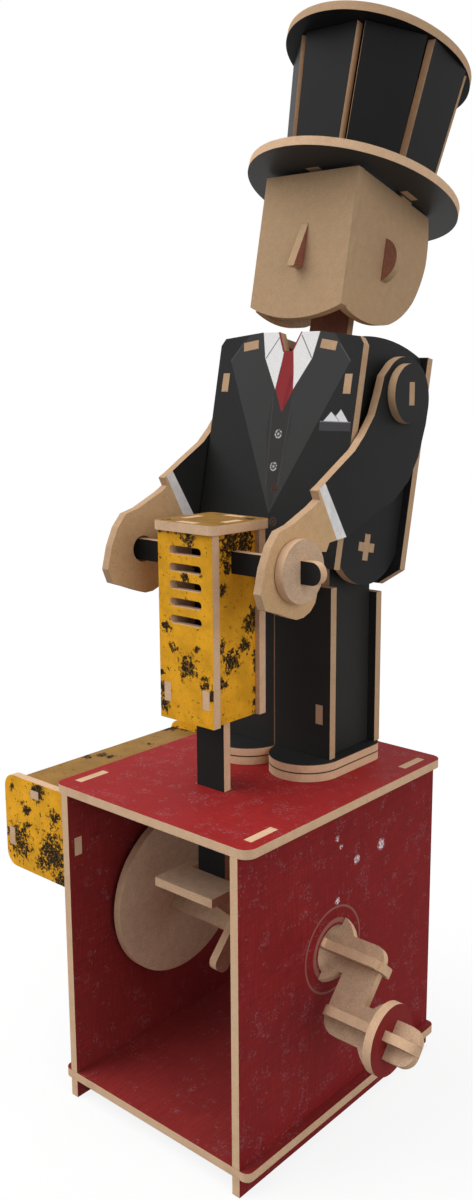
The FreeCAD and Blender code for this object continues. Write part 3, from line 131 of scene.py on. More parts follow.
class Shader:
    """One material's node tree, written as short calls."""

    def __init__(self, name):
        self.material = bpy.data.materials.new(name)
        self.material.use_nodes = True
        self.tree = self.material.node_tree
        self.tree.nodes.clear()

    def node(self, kind, **settings):
        made = self.tree.nodes.new(kind)
        for key, setting in settings.items():
            setattr(made, key, setting)
        return made

    def feed(self, socket, source):
        if isinstance(source, bpy.types.NodeSocket):
            self.tree.links.new(source, socket)
        else:
            socket.default_value = source

    def math(self, operation, a, b=0.0):
        made = self.node("ShaderNodeMath", operation=operation)
        self.feed(made.inputs[0], a)
        self.feed(made.inputs[1], b)
        return made.outputs[0]

    def apart(self, value, centre):
        """Distance of a value from a centre, either way."""
        return self.math("ABSOLUTE", self.math("SUBTRACT", value, centre))

    def between(self, value, low, high, to_low=0.0, to_high=1.0):
        """Smooth step of value from low to high."""
        made = self.node("ShaderNodeMapRange", interpolation_type="SMOOTHSTEP")
        for socket, source in zip(made.inputs, (value, low, high, to_low, to_high)):
            self.feed(socket, source)
        return made.outputs[0]

    def mix(self, factor, a, b, blend="MIX"):
        made = self.node("ShaderNodeMix", data_type="RGBA", blend_type=blend)
        self.feed(made.inputs[0], factor)
        self.feed(made.inputs[6], a)
        self.feed(made.inputs[7], b)
        return made.outputs[2]

    def paint(self, under, mask, colour, strength=1.0):
        """Colour laid over what is under it, where the mask is 1."""
        if strength != 1.0:
            mask = self.math("MULTIPLY", mask, strength)
        return self.mix(mask, under, colour)

    def place(self, origin, tilt=0.0):
        """Position in millimetres from an origin, in a frame that leans back by tilt."""
        position = self.node("ShaderNodeTexCoord").outputs["Object"]
        made = self.node("ShaderNodeMapping", vector_type="TEXTURE")
        self.feed(made.inputs["Vector"], position)
        made.inputs["Location"].default_value = origin
        made.inputs["Rotation"].default_value = (-tilt, 0, 0)
        made.inputs["Scale"].default_value = (MM, MM, MM)
        return made.outputs[0]

    def stretch(self, vector, scale):
        made = self.node("ShaderNodeMapping", vector_type="POINT")
        self.feed(made.inputs["Vector"], vector)
        made.inputs["Scale"].default_value = scale
        return made.outputs[0]

    def noise(self, vector, scale, detail=2.0, roughness=0.5, distortion=0.0):
        made = self.node("ShaderNodeTexNoise")
        self.feed(made.inputs["Vector"], vector)
        made.inputs["Scale"].default_value = scale
        made.inputs["Detail"].default_value = detail
        made.inputs["Roughness"].default_value = roughness
        made.inputs["Distortion"].default_value = distortion
        return made.outputs["Fac"]

    def split(self, vector):
        made = self.node("ShaderNodeSeparateXYZ")
        self.feed(made.inputs[0], vector)
        return made.outputs

    def flat(self, vector, pair):
        """The same place with one coordinate dropped; pair names the two that stay, such as xz."""
        keep = [1.0 if axis in pair else 0.0 for axis in "xyz"]
        return self.stretch(vector, keep)

    def distance(self, vector, point, pair):
        """Distance from a point in the plane of two coordinates."""
        centre = [0.0, 0.0, 0.0]
        for axis, value in zip(pair, point):
            centre["xyz".index(axis)] = value
        made = self.node("ShaderNodeVectorMath", operation="DISTANCE")
        self.feed(made.inputs[0], vector)
        made.inputs[1].default_value = centre
        return made.outputs["Value"]

    def half_plane(self, vector, start, end, pair):
        """Distance to the left of the line from start to end."""
        along = Vector((end[0] - start[0], end[1] - start[1])).normalized()
        normal = [0.0, 0.0, 0.0]
        normal["xyz".index(pair[0])] = -along.y
        normal["xyz".index(pair[1])] = along.x
        offset = -along.y * start[0] + along.x * start[1]
        made = self.node("ShaderNodeVectorMath", operation="DOT_PRODUCT")
        self.feed(made.inputs[0], vector)
        made.inputs[1].default_value = normal
        return self.math("SUBTRACT", made.outputs["Value"], offset)

    def polygon(self, vector, points, pair="xz", soft=0.12):
        """Mask of a convex outline; its points run either way round."""
        area = sum(a[0] * b[1] - b[0] * a[1] for a, b in zip(points, points[1:] + points[:1]))
        ring = points if area > 0 else points[::-1]
        inside = None
        for start, end in zip(ring, ring[1:] + ring[:1]):
            side = self.half_plane(vector, start, end, pair)
            inside = side if inside is None else self.math("MINIMUM", inside, side)
        return self.between(inside, -soft, soft)

    def patches(self, vector, outlines, pair="xz"):
        """Mask of several convex outlines together."""
        return self.either(*[self.polygon(vector, outline, pair) for outline in outlines])

    def line(self, vector, start, end, width, pair="xz"):
        """Mask of a straight stroke."""
        along = Vector((end[0] - start[0], end[1] - start[1])).normalized()
        across = Vector((-along.y, along.x)) * width / 2
        a, b = Vector(start), Vector(end)
        corners = [tuple(a - across), tuple(b - across), tuple(b + across), tuple(a + across)]
        return self.polygon(vector, corners, pair, soft=0.08)

    def either(self, *masks):
        joined = masks[0]
        for mask in masks[1:]:
            joined = self.math("MAXIMUM", joined, mask)
        return joined

    def finish(self, colour, roughness, height=None, depth=0.02, round_edge=0.15, gloss=GLOSS):
        """Board surface: soft broken edges, bump from height, and the output."""
        shader = self.node("ShaderNodeBsdfPrincipled")
        self.feed(shader.inputs["Base Color"], colour)
        self.feed(shader.inputs["Roughness"], roughness)
        shader.inputs["Specular IOR Level"].default_value = gloss
        bevel = self.node("ShaderNodeBevel", samples=BEVEL_SAMPLES)
        bevel.inputs["Radius"].default_value = round_edge * MM
        normal = bevel.outputs[0]
        if height is not None:
            bump = self.node("ShaderNodeBump")
            bump.inputs["Strength"].default_value = BUMP_STRENGTH
            bump.inputs["Distance"].default_value = depth * MM
            self.feed(bump.inputs["Height"], height)
            self.feed(bump.inputs["Normal"], normal)
            normal = bump.outputs[0]
        self.feed(shader.inputs["Normal"], normal)
        output = self.node("ShaderNodeOutputMaterial")
        self.feed(output.inputs["Surface"], shader.outputs[0])
        return self.material


# ---- bare board ----


def fibres(shader, place):
    """Fine fibre of pressed board, about 0.5 on average."""
    coarse = shader.noise(place, 0.35, 3, 0.55)
    fine = shader.noise(place, 2.2, 3, 0.65)
    speck = shader.noise(shader.stretch(place, (1.0, 1.0, 0.35)), 5.0, 2, 0.6)
    total = shader.math("MULTIPLY", coarse, 0.22)
    for layer, share in ((fine, 0.48), (speck, 0.3)):
        total = shader.math("ADD", total, shader.math("MULTIPLY", layer, share))
    return total


def board_colour(shader, place, colour, contrast):
    """Board with lighter and darker fibres and dark flecks, and the fibres themselves."""
    grain = fibres(shader, place)
    shade = shader.between(grain, 0.3, 0.7)
    toned = shader.mix(shade, scaled(colour, 1 - contrast), scaled(colour, 1 + contrast))
    flecks = shader.noise(place, 3.4, 2, 0.5)
    dark = shader.between(flecks, 0.69, 0.76)
    return shader.paint(toned, dark, scaled(colour, 0.45), 0.3), grain


def bare_board(name, colour, contrast=0.27):
    shader = Shader(name)
    place = shader.place(BOX_ORIGIN)
    toned, grain = board_colour(shader, place, colour, contrast)
    roughness = shader.between(grain, 0.2, 0.8, 0.72, 0.9)
    return shader.finish(toned, roughness, grain, 0.05)


def cut_edge(name, colour, seams=()):
    """Laser-cut edge: fibres, a little scorch, and dark seams (height, width) in millimetres."""
    shader = Shader(name)
    place = shader.place(BOX_ORIGIN)
    toned, grain = board_colour(shader, place, colour, 0.14)
    cloud = shader.noise(place, 0.09, 2, 0.5)
    scorch = shader.between(cloud, 0.52, 0.75, 0, 0.2)
    toned = shader.mix(scorch, toned, SCORCH)
    up = shader.split(place)[2]
    for height, width in seams:
        seam = shader.between(shader.apart(up, height), width, width / 2, 0, 0.92)
        toned = shader.mix(seam, toned, SEAM)
    return shader.finish(toned, 0.82, grain, 0.05, 0.25)


# ---- printed board ----


def scratches(shader, place, density):
    """Short curled scratches in loose clusters."""
    strokes = []
    for scale, twist in ((0.5, 1.4), (0.85, 0.9)):
        lines = shader.noise(place, scale, 3, 0.6, twist)
        strokes.append(shader.between(shader.apart(lines, 0.5), 0.022, 0.007))
    where = shader.noise(place, 0.17, 4, 0.75)
    broken = shader.noise(place, 1.2, 2, 0.6)
    there = shader.between(where, density, density + 0.07)
    cluster = shader.math("MULTIPLY", there, shader.either(*strokes))
    return shader.math("MULTIPLY", cluster, shader.between(broken, 0.44, 0.56))


# How often the threads of the red print change, per millimetre along x, y and z.
GRAIN_UPRIGHT = (2.2, 2.2, 0.12)
GRAIN_ACROSS = (0.3, 1.6, 1.6)
# Rings printed round the axle hole: radius and width in millimetres, and strength.
AXLE_RINGS = ((9.7, 1.5, 0.9), (14.3, 0.7, 0.8))


def red_print(name, colour, grain_scale, chips=(), rings=False, density=0.53, marks=0.55):
    """Red print with a fine weave, and scratches and chips that show the pale board."""
    shader = Shader(name)
    place = shader.place(BOX_ORIGIN)
    warp = shader.noise(shader.stretch(place, grain_scale), 1.0, 3, 0.6)
    weft = shader.noise(shader.stretch(place, grain_scale[1:] + grain_scale[:1]), 1.0, 3, 0.6)
    threads = shader.math("MULTIPLY", shader.math("ADD", warp, weft), 0.5)
    cloud = shader.noise(place, 0.05, 3, 0.55)
    toned = shader.mix(shader.between(threads, 0.3, 0.7), scaled(colour, 0.74), scaled(colour, 1.24))
    toned = shader.mix(shader.between(cloud, 0.3, 0.7, 0, 0.35), toned, scaled(colour, 0.72))
    marked = scratches(shader, place, density)
    toned = shader.paint(toned, marked, SCRATCH, marks)
    if rings:
        toned = axle_rings(shader, toned)
    if chips:
        toned = chipped(shader, place, toned, chips)
    roughness = shader.between(threads, 0.2, 0.8, 0.5, 0.68)
    height = shader.math("SUBTRACT", threads, shader.math("MULTIPLY", marked, 1.5))
    return shader.finish(toned, roughness, height, 0.03)


def axle_rings(shader, toned):
    """Rings printed round the axle hole."""
    place = shader.flat(shader.place(AXLE), "yz")
    away = shader.distance(place, (0, 0), "yz")
    for radius, width, strength in AXLE_RINGS:
        off = shader.apart(away, radius)
        ring = shader.between(off, width / 2 + 0.1, width / 2 - 0.1, 0, strength)
        toned = shader.mix(ring, toned, AXLE_RING)
    return toned


def chipped(shader, place, toned, chips):
    """Ragged pale chips in the print, at the given places (back, up) and radii."""
    ragged = shader.noise(place, 1.5, 3, 0.75)
    flat = shader.flat(place, "yz")
    masks = []
    for spot, radius in chips:
        away = shader.math("DIVIDE", shader.distance(flat, spot, "yz"), radius)
        rim = shader.math("ADD", away, shader.math("MULTIPLY", ragged, 1.6))
        masks.append(shader.between(rim, 1.75, 1.35))
    holes = shader.between(shader.noise(place, 2.3, 3, 0.7), 0.45, 0.5)
    return shader.mix(shader.math("MULTIPLY", shader.either(*masks), holes), toned, CHIP)


# Rust: how much a cluster raises the noise, and the levels (from, to, none, full) of halo and core.
RUST_REACH = 0.24
RUST_HALO = (0.595, 0.655, 0, 0.7)
RUST_CORE = (0.645, 0.665, 0, 0.97)


def rusty_print(name, colour, clusters, pair, specks=0.0):
    """Yellow print with ragged black-brown rust about the given places, and small specks."""
    shader = Shader(name)
    place = shader.place(BOX_ORIGIN)
    cloud = shader.noise(place, 0.12, 4, 0.6)
    toned = shader.mix(shader.between(cloud, 0.3, 0.7), scaled(colour, 0.82), scaled(colour, 1.12))
    fine = shader.noise(place, 1.5, 4, 0.7)
    toned = shader.mix(shader.between(fine, 0.35, 0.65, 0, 0.25), toned, scaled(colour, 0.7))
    flat = shader.flat(place, pair)
    ragged = shader.noise(place, 0.6, 5, 0.7, 0.5)
    near = []
    for spot, radius in clusters:
        away = shader.distance(flat, spot, pair)
        near.append(shader.between(away, radius * 1.55, radius * 0.1))
    level = shader.math("ADD", ragged, shader.math("MULTIPLY", shader.either(*near), RUST_REACH))
    halo = shader.between(level, *RUST_HALO)
    flaked = shader.between(shader.noise(place, 1.3, 3, 0.65), 0.37, 0.45)
    core = shader.math("MULTIPLY", shader.between(level, *RUST_CORE), flaked)
    toned = shader.mix(halo, toned, RUST_BROWN)
    bright = shader.between(shader.noise(place, 2.2, 3, 0.7), 0.5, 0.7)
    worn = shader.mix(bright, RUST_DARK, RUST_WORN)
    toned = shader.mix(core, toned, worn)
    if specks:
        dots = shader.between(shader.noise(place, 0.75, 3, 0.7), 0.80 - specks, 0.84 - specks)
        toned = shader.mix(dots, toned, RUST_DARK)
    roughness = shader.between(core, 0, 1, 0.5, 0.85)
    height = shader.math("SUBTRACT", fine, core)
    return shader.finish(toned, roughness, height, 0.04)


def charcoal_print(name, colour):
    shader = Shader(name)
    place = shader.place(BOX_ORIGIN)
    return shader.finish(*charcoal(shader, place, colour), gloss=INK_GLOSS)


def charcoal(shader, place, colour):
    """Colour, roughness and height of the dark suit print."""
    weave = shader.noise(place, 2.6, 3, 0.6)
    cloud = shader.noise(place, 0.06, 3, 0.5)
    toned = shader.mix(shader.between(weave, 0.3, 0.7), scaled(colour, 0.9), scaled(colour, 1.1))
    toned = shader.mix(shader.between(cloud, 0.35, 0.7, 0, 0.3), toned, scaled(colour, 0.8))
    return toned, shader.between(weave, 0.2, 0.8, 0.42, 0.55), weave, 0.02


# Chest print, in millimetres (right, up) from the hip axle.
LAPEL_TIP = (0.6, 6.8)
LAPELS = (
    [(-25.3, 58.1), LAPEL_TIP, (4, 50), (-4, 68.4), (-16.5, 68.4)],
    [(26.4, 57.9), LAPEL_TIP, (-4, 50), (4, 68.4), (17.6, 68.4)],
)
LAPEL_NOTCHES = (((-25.3, 58.1), (-19.9, 64.8)), ((26.4, 57.9), (21.3, 63.6)))
VEST_OUTLINE = [
    (-3.6, 48.5), (4.2, 48.6), (5.4, 36), (3.2, 22),
    (1.2, 9.5), (0.2, 9.5), (-3.2, 22), (-5.2, 36),
]
SHIRT_PARTS = (
    [(-12.1, 68.6), (-9.7, 59), (-9.4, 58.5), (-1.6, 60), (-1.2, 68.6)],
    [(-10.0, 59.8), (-9.7, 59), (-3.6, 48.5), (-1.4, 62.3)],
    [(1.2, 68.6), (2.2, 60), (10.3, 58.4), (10.6, 58.9), (12.7, 68.6)],
    [(2.1, 62.3), (4.2, 48.6), (10.6, 58.9), (10.8, 59.8)],
)
TIE_PARTS = (
    [(-1.8, 61.4), (2.3, 61.4), (3.7, 53.3), (-2.4, 54.3)],
    [(-2.4, 54.3), (3.7, 53.3), (4.2, 48.2), (0.5, 40.9), (-3.5, 48.8)],
)
NOTCH_SIDES = (
    [(-5.4, 68), (-3.9, 68), (-1.2, 61), (-2.2, 61)],
    [(4.0, 68), (5.2, 68), (2.1, 61), (1.2, 61)],
)
COLLAR_LINES = (((-4.0, 66.6), (-9.4, 58.9)), ((5.0, 66.6), (10.4, 58.9)))
BUTTONS = (
    ((0.4, 33.6), SILVER_BUTTON),
    ((0.1, 22.7), SILVER_BUTTON),
    ((1.6, 15.6), BROWN_BUTTON),
    ((3.0, 4.4), BROWN_BUTTON),
)
POCKET_OUTLINE = [(17.3, 35.3), (30, 35.5), (29.6, 38.1), (17.2, 38.2)]
HANDKERCHIEF_PEAKS = (
    [(18.5, 38.3), (21.4, 41.5), (25.2, 38.3)],
    [(22.0, 38.3), (25.2, 42.4), (28.7, 38.3)],
)


def chest_print():
    """Jacket with lapels, vest, shirt, tie, buttons, breast pocket and handkerchief."""
    shader = Shader("chest_print")
    place = shader.place(HIP, TORSO_TILT)
    flat = shader.flat(place, "xz")
    toned, roughness, weave, depth = charcoal(shader, place, CHARCOAL)
    shade = shader.between(weave, 0.3, 0.7, 0.93, 1.07)

    toned = shader.paint(toned, shader.patches(flat, LAPELS), LAPEL)
    toned = shader.paint(toned, shader.polygon(flat, VEST_OUTLINE), VEST, 0.85)
    for start, end in LAPEL_NOTCHES:
        toned = shader.paint(toned, shader.line(flat, start, end, 0.35), LAPEL_EDGE, 0.5)
    for side in (-1, 1):
        fold = shader.line(flat, (side * 4.2 + 0.3, 46), (side * 2.6 + 0.3, 16), 0.5)
        toned = shader.paint(toned, fold, VEST_FOLD, 0.25)
    toned = shader.paint(toned, shader.patches(flat, SHIRT_PARTS), WHITE)
    for start, end in COLLAR_LINES:
        toned = shader.paint(toned, shader.line(flat, start, end, 0.38), COLLAR_LINE)
    toned = shader.paint(toned, shader.patches(flat, NOTCH_SIDES), TIE)
    toned = shader.paint(toned, shader.patches(flat, TIE_PARTS), TIE)
    crease = shader.line(flat, (2.9, 53), (1.2, 42.6), 1.6)
    toned = shader.paint(toned, crease, TIE_CREASE, 0.3)
    toned = chest_buttons(shader, flat, toned)
    toned = breast_pocket(shader, flat, toned)
    toned = shader.mix(1.0, toned, shade_colour(shader, shade), "MULTIPLY")
    return shader.finish(toned, roughness, weave, depth, gloss=INK_GLOSS)


def shade_colour(shader, value):
    """Grey of the given value."""
    made = shader.node("ShaderNodeCombineColor")
    for socket in made.inputs:
        shader.feed(socket, value)
    return made.outputs[0]


def chest_buttons(shader, flat, toned):
    """Two silvery buttons with a dark pattern, and two brown ones below."""
    for spot, (rim, face) in BUTTONS:
        away = shader.distance(flat, spot, "xz")
        toned = shader.mix(shader.between(away, 1.75, 1.55), toned, face)
        ring = shader.between(shader.apart(away, 1.25), 0.35, 0.12)
        wobble = shader.between(shader.noise(flat, 1.4, 1, 0.5), 0.4, 0.52)
        toned = shader.mix(shader.math("MULTIPLY", ring, wobble), toned, rim)
        toned = shader.paint(toned, shader.between(away, 0.6, 0.35), rim, 0.7)
    return toned


def breast_pocket(shader, flat, toned):
    """Pocket welt, and a folded handkerchief with two peaks."""
    toned = shader.paint(toned, shader.polygon(flat, POCKET_OUTLINE), POCKET)
    toned = shader.paint(toned, shader.patches(flat, HANDKERCHIEF_PEAKS), HANDKERCHIEF)
    fold = shader.line(flat, (22.9, 40.6), (25.0, 38.5), 0.25)
    toned = shader.paint(toned, fold, HANDKERCHIEF_FOLD)
    welt = shader.line(flat, (17.2, 38.3), (29.6, 38.3), 0.3)
    return shader.paint(toned, welt, POCKET_EDGE)


# Lines across the arm, in millimetres (back, up): sleeve to cuff, and cuff to hand.
CUFF_UPPER = ((45.8, 214.1), (56.7, 196.6))
CUFF_LOWER = ((42.6, 213.0), (52.2, 195.6))


def arm_print():
    """Charcoal sleeve, white cuff and bare hand, split by two straight lines."""
    shader = Shader("arm_print")
    place = shader.place(BOX_ORIGIN)
    flat = shader.flat(place, "yz")
    sleeve, roughness, weave, depth = charcoal(shader, place, CHARCOAL)
    hand = board_colour(shader, place, HAND, 0.16)[0]
    below_sleeve = shader.between(shader.half_plane(flat, *CUFF_UPPER, "yz"), 0.1, -0.1)
    below_cuff = shader.between(shader.half_plane(flat, *CUFF_LOWER, "yz"), 0.1, -0.1)
    grey = shader.noise(place, 0.3, 2, 0.5)
    cuff = shader.mix(shader.between(grey, 0.3, 0.7), CUFF_DARK, CUFF_LIGHT)
    toned = shader.mix(below_sleeve, sleeve, cuff)
    toned = shader.mix(below_cuff, toned, hand)
    roughness = shader.math("ADD", roughness, shader.math("MULTIPLY", below_cuff, 0.3))
    return shader.finish(toned, roughness, weave, depth, gloss=INK_GLOSS)


# Ends of the crown's tenons in the brim, in millimetres (right, back) from the brim's middle.
BRIM_TENONS = (
    [(-2.7, -24.2), (2.7, -24.2), (2.7, -21.2), (-2.7, -21.2)],
    [(20.3, -1), (23.2, -1), (23.2, 6), (20.3, 6)],
    [(-23.2, -1), (-20.3, -1), (-20.3, 6), (-23.2, 6)],
)


def brim_print():
    """Charcoal underside of the brim, lightened as a painted reflection, with the bare ends of the
    crown's tenons.
    """
    shader = Shader("brim_print")
    place = shader.place(BOX_ORIGIN)
    sheet, roughness, weave, depth = charcoal(shader, place, BRIM_UNDER_PAINTED_REFLECTION)
    low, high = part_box("hat_brim")
    planes = flat_groups(nodes["hat_brim"].data)
    up = max(planes, key=lambda plane: plane["area"] * plane["normal"].z)["normal"]
    flat = shader.flat(shader.place((low + high) / 2, math.atan2(up.y, up.z)), "xy")
    ends = shader.patches(flat, BRIM_TENONS, "xy")
    # The tenon ends take the figure's edge colour, darkened as painted shade.
    toned = shader.mix(ends, sheet, board_colour(shader, place, FIGURE_EDGE_PAINTED_SHADE, 0.14)[0])
    return shader.finish(toned, roughness, weave, depth, gloss=BRIM_GLOSS)


# ---- assigning materials to the plates' faces and cut edges ----

# How far planes may differ and still count as one, or as a plate's two broad faces.
SAME_PLANE = 0.03 * MM
SAME_DIRECTION = 0.999
OPPOSED = -0.9999
SHEET_SLACK = 0.05 * MM
AREA_SLACK = 0.03
# Share of the largest plane's area below which a plane isn't a broad face.
BROAD_SHARE = 0.4


def flat_groups(mesh):
    """Polygons of each plane, largest polygon first: its normal, a point on it, area and members."""
    planes = []
    for polygon in sorted(mesh.polygons, key=lambda polygon: -polygon.area):
        for plane in planes:
            off = plane["normal"].dot(polygon.center - plane["point"])
            same_way = polygon.normal.dot(plane["normal"]) > SAME_DIRECTION
            if same_way and abs(off) < SAME_PLANE:
                break
        else:
            plane = {
                "normal": polygon.normal.copy(),
                "point": polygon.center.copy(),
                "area": 0.0,
                "members": [],
            }
            planes.append(plane)
        plane["area"] += polygon.area
        plane["members"].append(polygon.index)
    return planes


def board_faces(mesh):
    """Planes that are a plate's two broad faces: a pair one sheet apart with the same area."""
    planes = flat_groups(mesh)
    largest = max(plane["area"] for plane in planes)
    broad = []
    for plane in planes:
        if plane["area"] < BROAD_SHARE * largest:
            continue
        for other in planes:
            opposed = plane["normal"].dot(other["normal"]) < OPPOSED
            thick = plane["normal"].dot(plane["point"] - other["point"])
            one_sheet = abs(thick - SHEET) < SHEET_SLACK
            if opposed and one_sheet and abs(other["area"] / plane["area"] - 1) < AREA_SLACK:
                broad.append(plane)
                break
    return broad


def dress(name, outer, inner, edge, centre):
    """Give a plate its outer and inner print and its bare edge; outer looks away from the centre."""
    mesh = nodes[name].data
    mesh.materials.clear()
    for material in (edge, outer, inner):
        mesh.materials.append(material)
    slots = [0] * len(mesh.polygons)
    for plane in board_faces(mesh):
        away = plane["normal"].dot(plane["point"] - centre)
        for index in plane["members"]:
            slots[index] = 1 if away > 0 else 2
    mesh.polygons.foreach_set("material_index", slots)


# Places that a plate's outer print looks away from.
BOX_MIDDLE = BOX_ORIGIN + Vector((0, 52 * MM, 60 * MM))
COMPRESSOR_MIDDLE = BOX_ORIGIN + Vector((-56 * MM, 44 * MM, 90 * MM))
HAMMER_MIDDLE = BOX_ORIGIN + Vector((0, 32 * MM, 168 * MM))
TORSO_MIDDLE = HIP + Vector((0, 6 * MM, 30 * MM))
HEAD_INSIDE = HIP + Vector((0, 0.05, 0.1))
FAR_BEHIND = HIP + Vector((0, 1, 0))
FAR_BELOW = Vector((0, 0, -1))

# Rust clusters and chips (position in the plate's plane, radius) in millimetres.
HAMMER_FRONT_RUST = (
    ((-8.4, 168.4), 2.6), ((-5.8, 161.7), 2.2), ((0.8, 156.5), 4.6), ((8.3, 151.8), 2.6),
    ((10.8, 148.4), 2.6), ((-10.4, 142.4), 3.0), ((1.2, 197.4), 3.4), ((0, 185), 2.0),
    ((-11, 148), 2.0), ((4.8, 162.4), 1.6), ((-10.6, 199), 1.5), ((-7.0, 199.4), 1.5),
    ((-3.4, 199.2), 1.6), ((-11.2, 152.5), 1.3),
)
HAMMER_SIDE_RUST = (
    ((30, 157.8), 4.6), ((38.5, 168.5), 4.0), ((36.2, 161.7), 3.2), ((25.4, 150.9), 2.6),
    ((29.5, 195), 6.0), ((36.4, 195.5), 5.0), ((41.0, 158), 1.7), ((41.0, 155.5), 1.7),
    ((41.0, 152.5), 1.7), ((41.0, 146), 1.7), ((41.0, 142), 1.7), ((41.0, 138.5), 1.7),
    ((28, 188), 3.2), ((25, 163), 2.2), ((40, 172), 2.8), ((26, 181), 2.2),
)
COMPRESSOR_RUST = (
    ((-69.6, 104.5), 2.0), ((-62.1, 98.2), 3.0), ((-55.5, 106), 4.2), ((-46.8, 99), 3.6),
    ((-62.0, 92), 2.4), ((-66.5, 85.3), 7.5), ((-47.6, 85.5), 8.5), ((-53.8, 81), 4.2),
    ((-44.8, 77.2), 4.6),
)
COMPRESSOR_LID_RUST = (
    ((-70, 36.5), 2.2), ((-67.5, 41.5), 2.6), ((-63.5, 42.5), 2.2), ((-63, 61.5), 1.4),
    ((-71, 80), 3.8), ((-66, 84), 3.6),
)
HAMMER_LID_RUST = (
    ((9, 40), 2.5), ((-10, 22), 2.0),
)
COMPRESSOR_SIDE_RUST = (
    ((20, 90), 5.0), ((60, 84), 6.0), ((45, 98), 4.0),
)
WALL_CHIPS = (
    ((58.1, 89.6), 1.9), ((71.8, 90.2), 2.3), ((47.7, 78.8), 1.4), ((47.4, 100.3), 1.3),
    ((49.4, 97.0), 1.0),
)

# Seams of the two stacked plates of a shoe: height and width in millimetres.
SHOE_SEAMS = ((116.2, 0.32), (119.2, 0.25))
# The compressor's ends are a little brighter than the hammer's sides.
COMPRESSOR_END = scaled(YELLOW, 1.12)

edge = cut_edge("cut_edge", BARE_EDGE)
# Edges of the figure, darkened as painted shade.
figure_edge_painted_shade = cut_edge("figure_edge_painted_shade", FIGURE_EDGE_PAINTED_SHADE)
head_edge = cut_edge("head_edge", HEAD_EDGE)
shoe_edge = cut_edge("shoe_edge", BARE_EDGE, SHOE_SEAMS)
bare = bare_board("bare_board", BARE)
skin = bare_board("head_board", SKIN, 0.14)
charcoal_board = charcoal_print("charcoal_print", CHARCOAL)
hat_board = charcoal_print("hat_print", HAT)
# The legs' print, lightened as painted sheen.
leg_painted_sheen_board = charcoal_print("leg_painted_sheen_print", LEG_PAINTED_SHEEN)
red_outside = red_print("red_wall_print", RED, GRAIN_UPRIGHT, WALL_CHIPS, rings=True)
red_inside = red_print("red_inside_print", INSIDE_RED, GRAIN_UPRIGHT, marks=0.5, density=0.54)
red_left = red_print("red_left_print", RED, GRAIN_UPRIGHT)
red_level = red_print("red_top_print", RED_LEVEL, GRAIN_ACROSS, density=0.52)
maroon = red_print("maroon_print", MAROON, GRAIN_UPRIGHT, marks=0.2, density=0.62)
# The ears' print: maroon lightened as painted light.
ear = red_print("ear_painted_light_print", EAR_PAINTED_LIGHT, GRAIN_UPRIGHT, marks=0.2, density=0.62)
# The neck's print: maroon darkened as painted shade.
neck_painted_shade = red_print("neck_painted_shade_print", NECK_PAINTED_SHADE, GRAIN_UPRIGHT, marks=0.15, density=0.64)
knob_red = red_print("knob_print", INSIDE_RED, GRAIN_UPRIGHT, marks=0.3, density=0.62)
hammer_front = rusty_print("hammer_front_print", YELLOW, HAMMER_FRONT_RUST, "xz")
hammer_side = rusty_print("hammer_side_print", YELLOW, HAMMER_SIDE_RUST, "yz")
hammer_back = rusty_print("hammer_back_print", YELLOW, HAMMER_FRONT_RUST[:6], "xz")
# The hammer's top here and the compressor's top below take the yellow darkened as painted shade.
hammer_lid = rusty_print("hammer_top_print", YELLOW_PAINTED_SHADE, HAMMER_LID_RUST, "xy", specks=0.02)
compressor_end = rusty_print("compressor_end_print", COMPRESSOR_END, COMPRESSOR_RUST, "xz")
compressor_side = rusty_print("compressor_side_print", YELLOW, COMPRESSOR_SIDE_RUST, "yz")
compressor_lid = rusty_print("compressor_top_print", YELLOW_PAINTED_SHADE, COMPRESSOR_LID_RUST, "xy", specks=0.03)
chest = chest_print()
arm = arm_print()

dress("base_right_wall", red_outside, red_inside, edge, BOX_MIDDLE)
dress("base_left_wall", red_left, red_inside, edge, BOX_MIDDLE)
dress("base_top_panel", red_level, red_inside, edge, BOX_MIDDLE)
dress("base_floor_panel", red_left, red_inside, edge, BOX_MIDDLE)
dress("compressor_front_panel", compressor_end, bare, edge, COMPRESSOR_MIDDLE)
dress("compressor_back_panel", compressor_end, compressor_end, edge, COMPRESSOR_MIDDLE)
dress("compressor_outer_panel", compressor_side, bare, edge, COMPRESSOR_MIDDLE)
dress("compressor_top_panel", compressor_lid, bare, edge, COMPRESSOR_MIDDLE)

for side in ("left", "right"):
    for part in ("shoe_lower", "shoe_upper"):
        dress(f"{side}_{part}", charcoal_board, charcoal_board, shoe_edge, FAR_BELOW)
    for part in ("front", "back", "outer", "inner"):
        dress(f"{side}_leg_{part}_panel", leg_painted_sheen_board, leg_painted_sheen_board, figure_edge_painted_shade, HIP)
    dress(f"{side}_arm", arm, arm, figure_edge_painted_shade, HIP)
    dress(f"{side}_shoulder_pin", bare, bare, figure_edge_painted_shade, HIP)
    dress(f"{side}_shoulder_washers", charcoal_board, charcoal_board, figure_edge_painted_shade, HIP)
    dress(f"{side}_shoulder_support", bare, bare, figure_edge_painted_shade, HIP)
    dress(f"torso_{side}_panel", charcoal_board, charcoal_board, figure_edge_painted_shade, TORSO_MIDDLE)
    dress(f"head_{side}_panel", skin, bare, head_edge, HIP)

for name in (
    "crank_plate",
    "axle_rib",
    "handle_rib",
    "star_cam",
    "flywheel_disc",
    "follower_plate",
    "rod_brace",
):
    dress(name, bare, bare, edge, AXLE)
dress("knob_disc", knob_red, knob_red, edge, AXLE)
dress("hand_washers", bare, bare, edge, HAMMER_MIDDLE)
dress("handle_and_rod", charcoal_board, charcoal_board, edge, HAMMER_MIDDLE)
dress("hammer_front_panel", hammer_front, bare, edge, HAMMER_MIDDLE)
dress("hammer_back_panel", hammer_back, bare, edge, HAMMER_MIDDLE)
dress("hammer_left_panel", hammer_side, bare, edge, HAMMER_MIDDLE)
dress("hammer_right_panel", hammer_side, bare, edge, HAMMER_MIDDLE)
dress("hammer_top_panel", hammer_lid, bare, edge, HAMMER_MIDDLE)

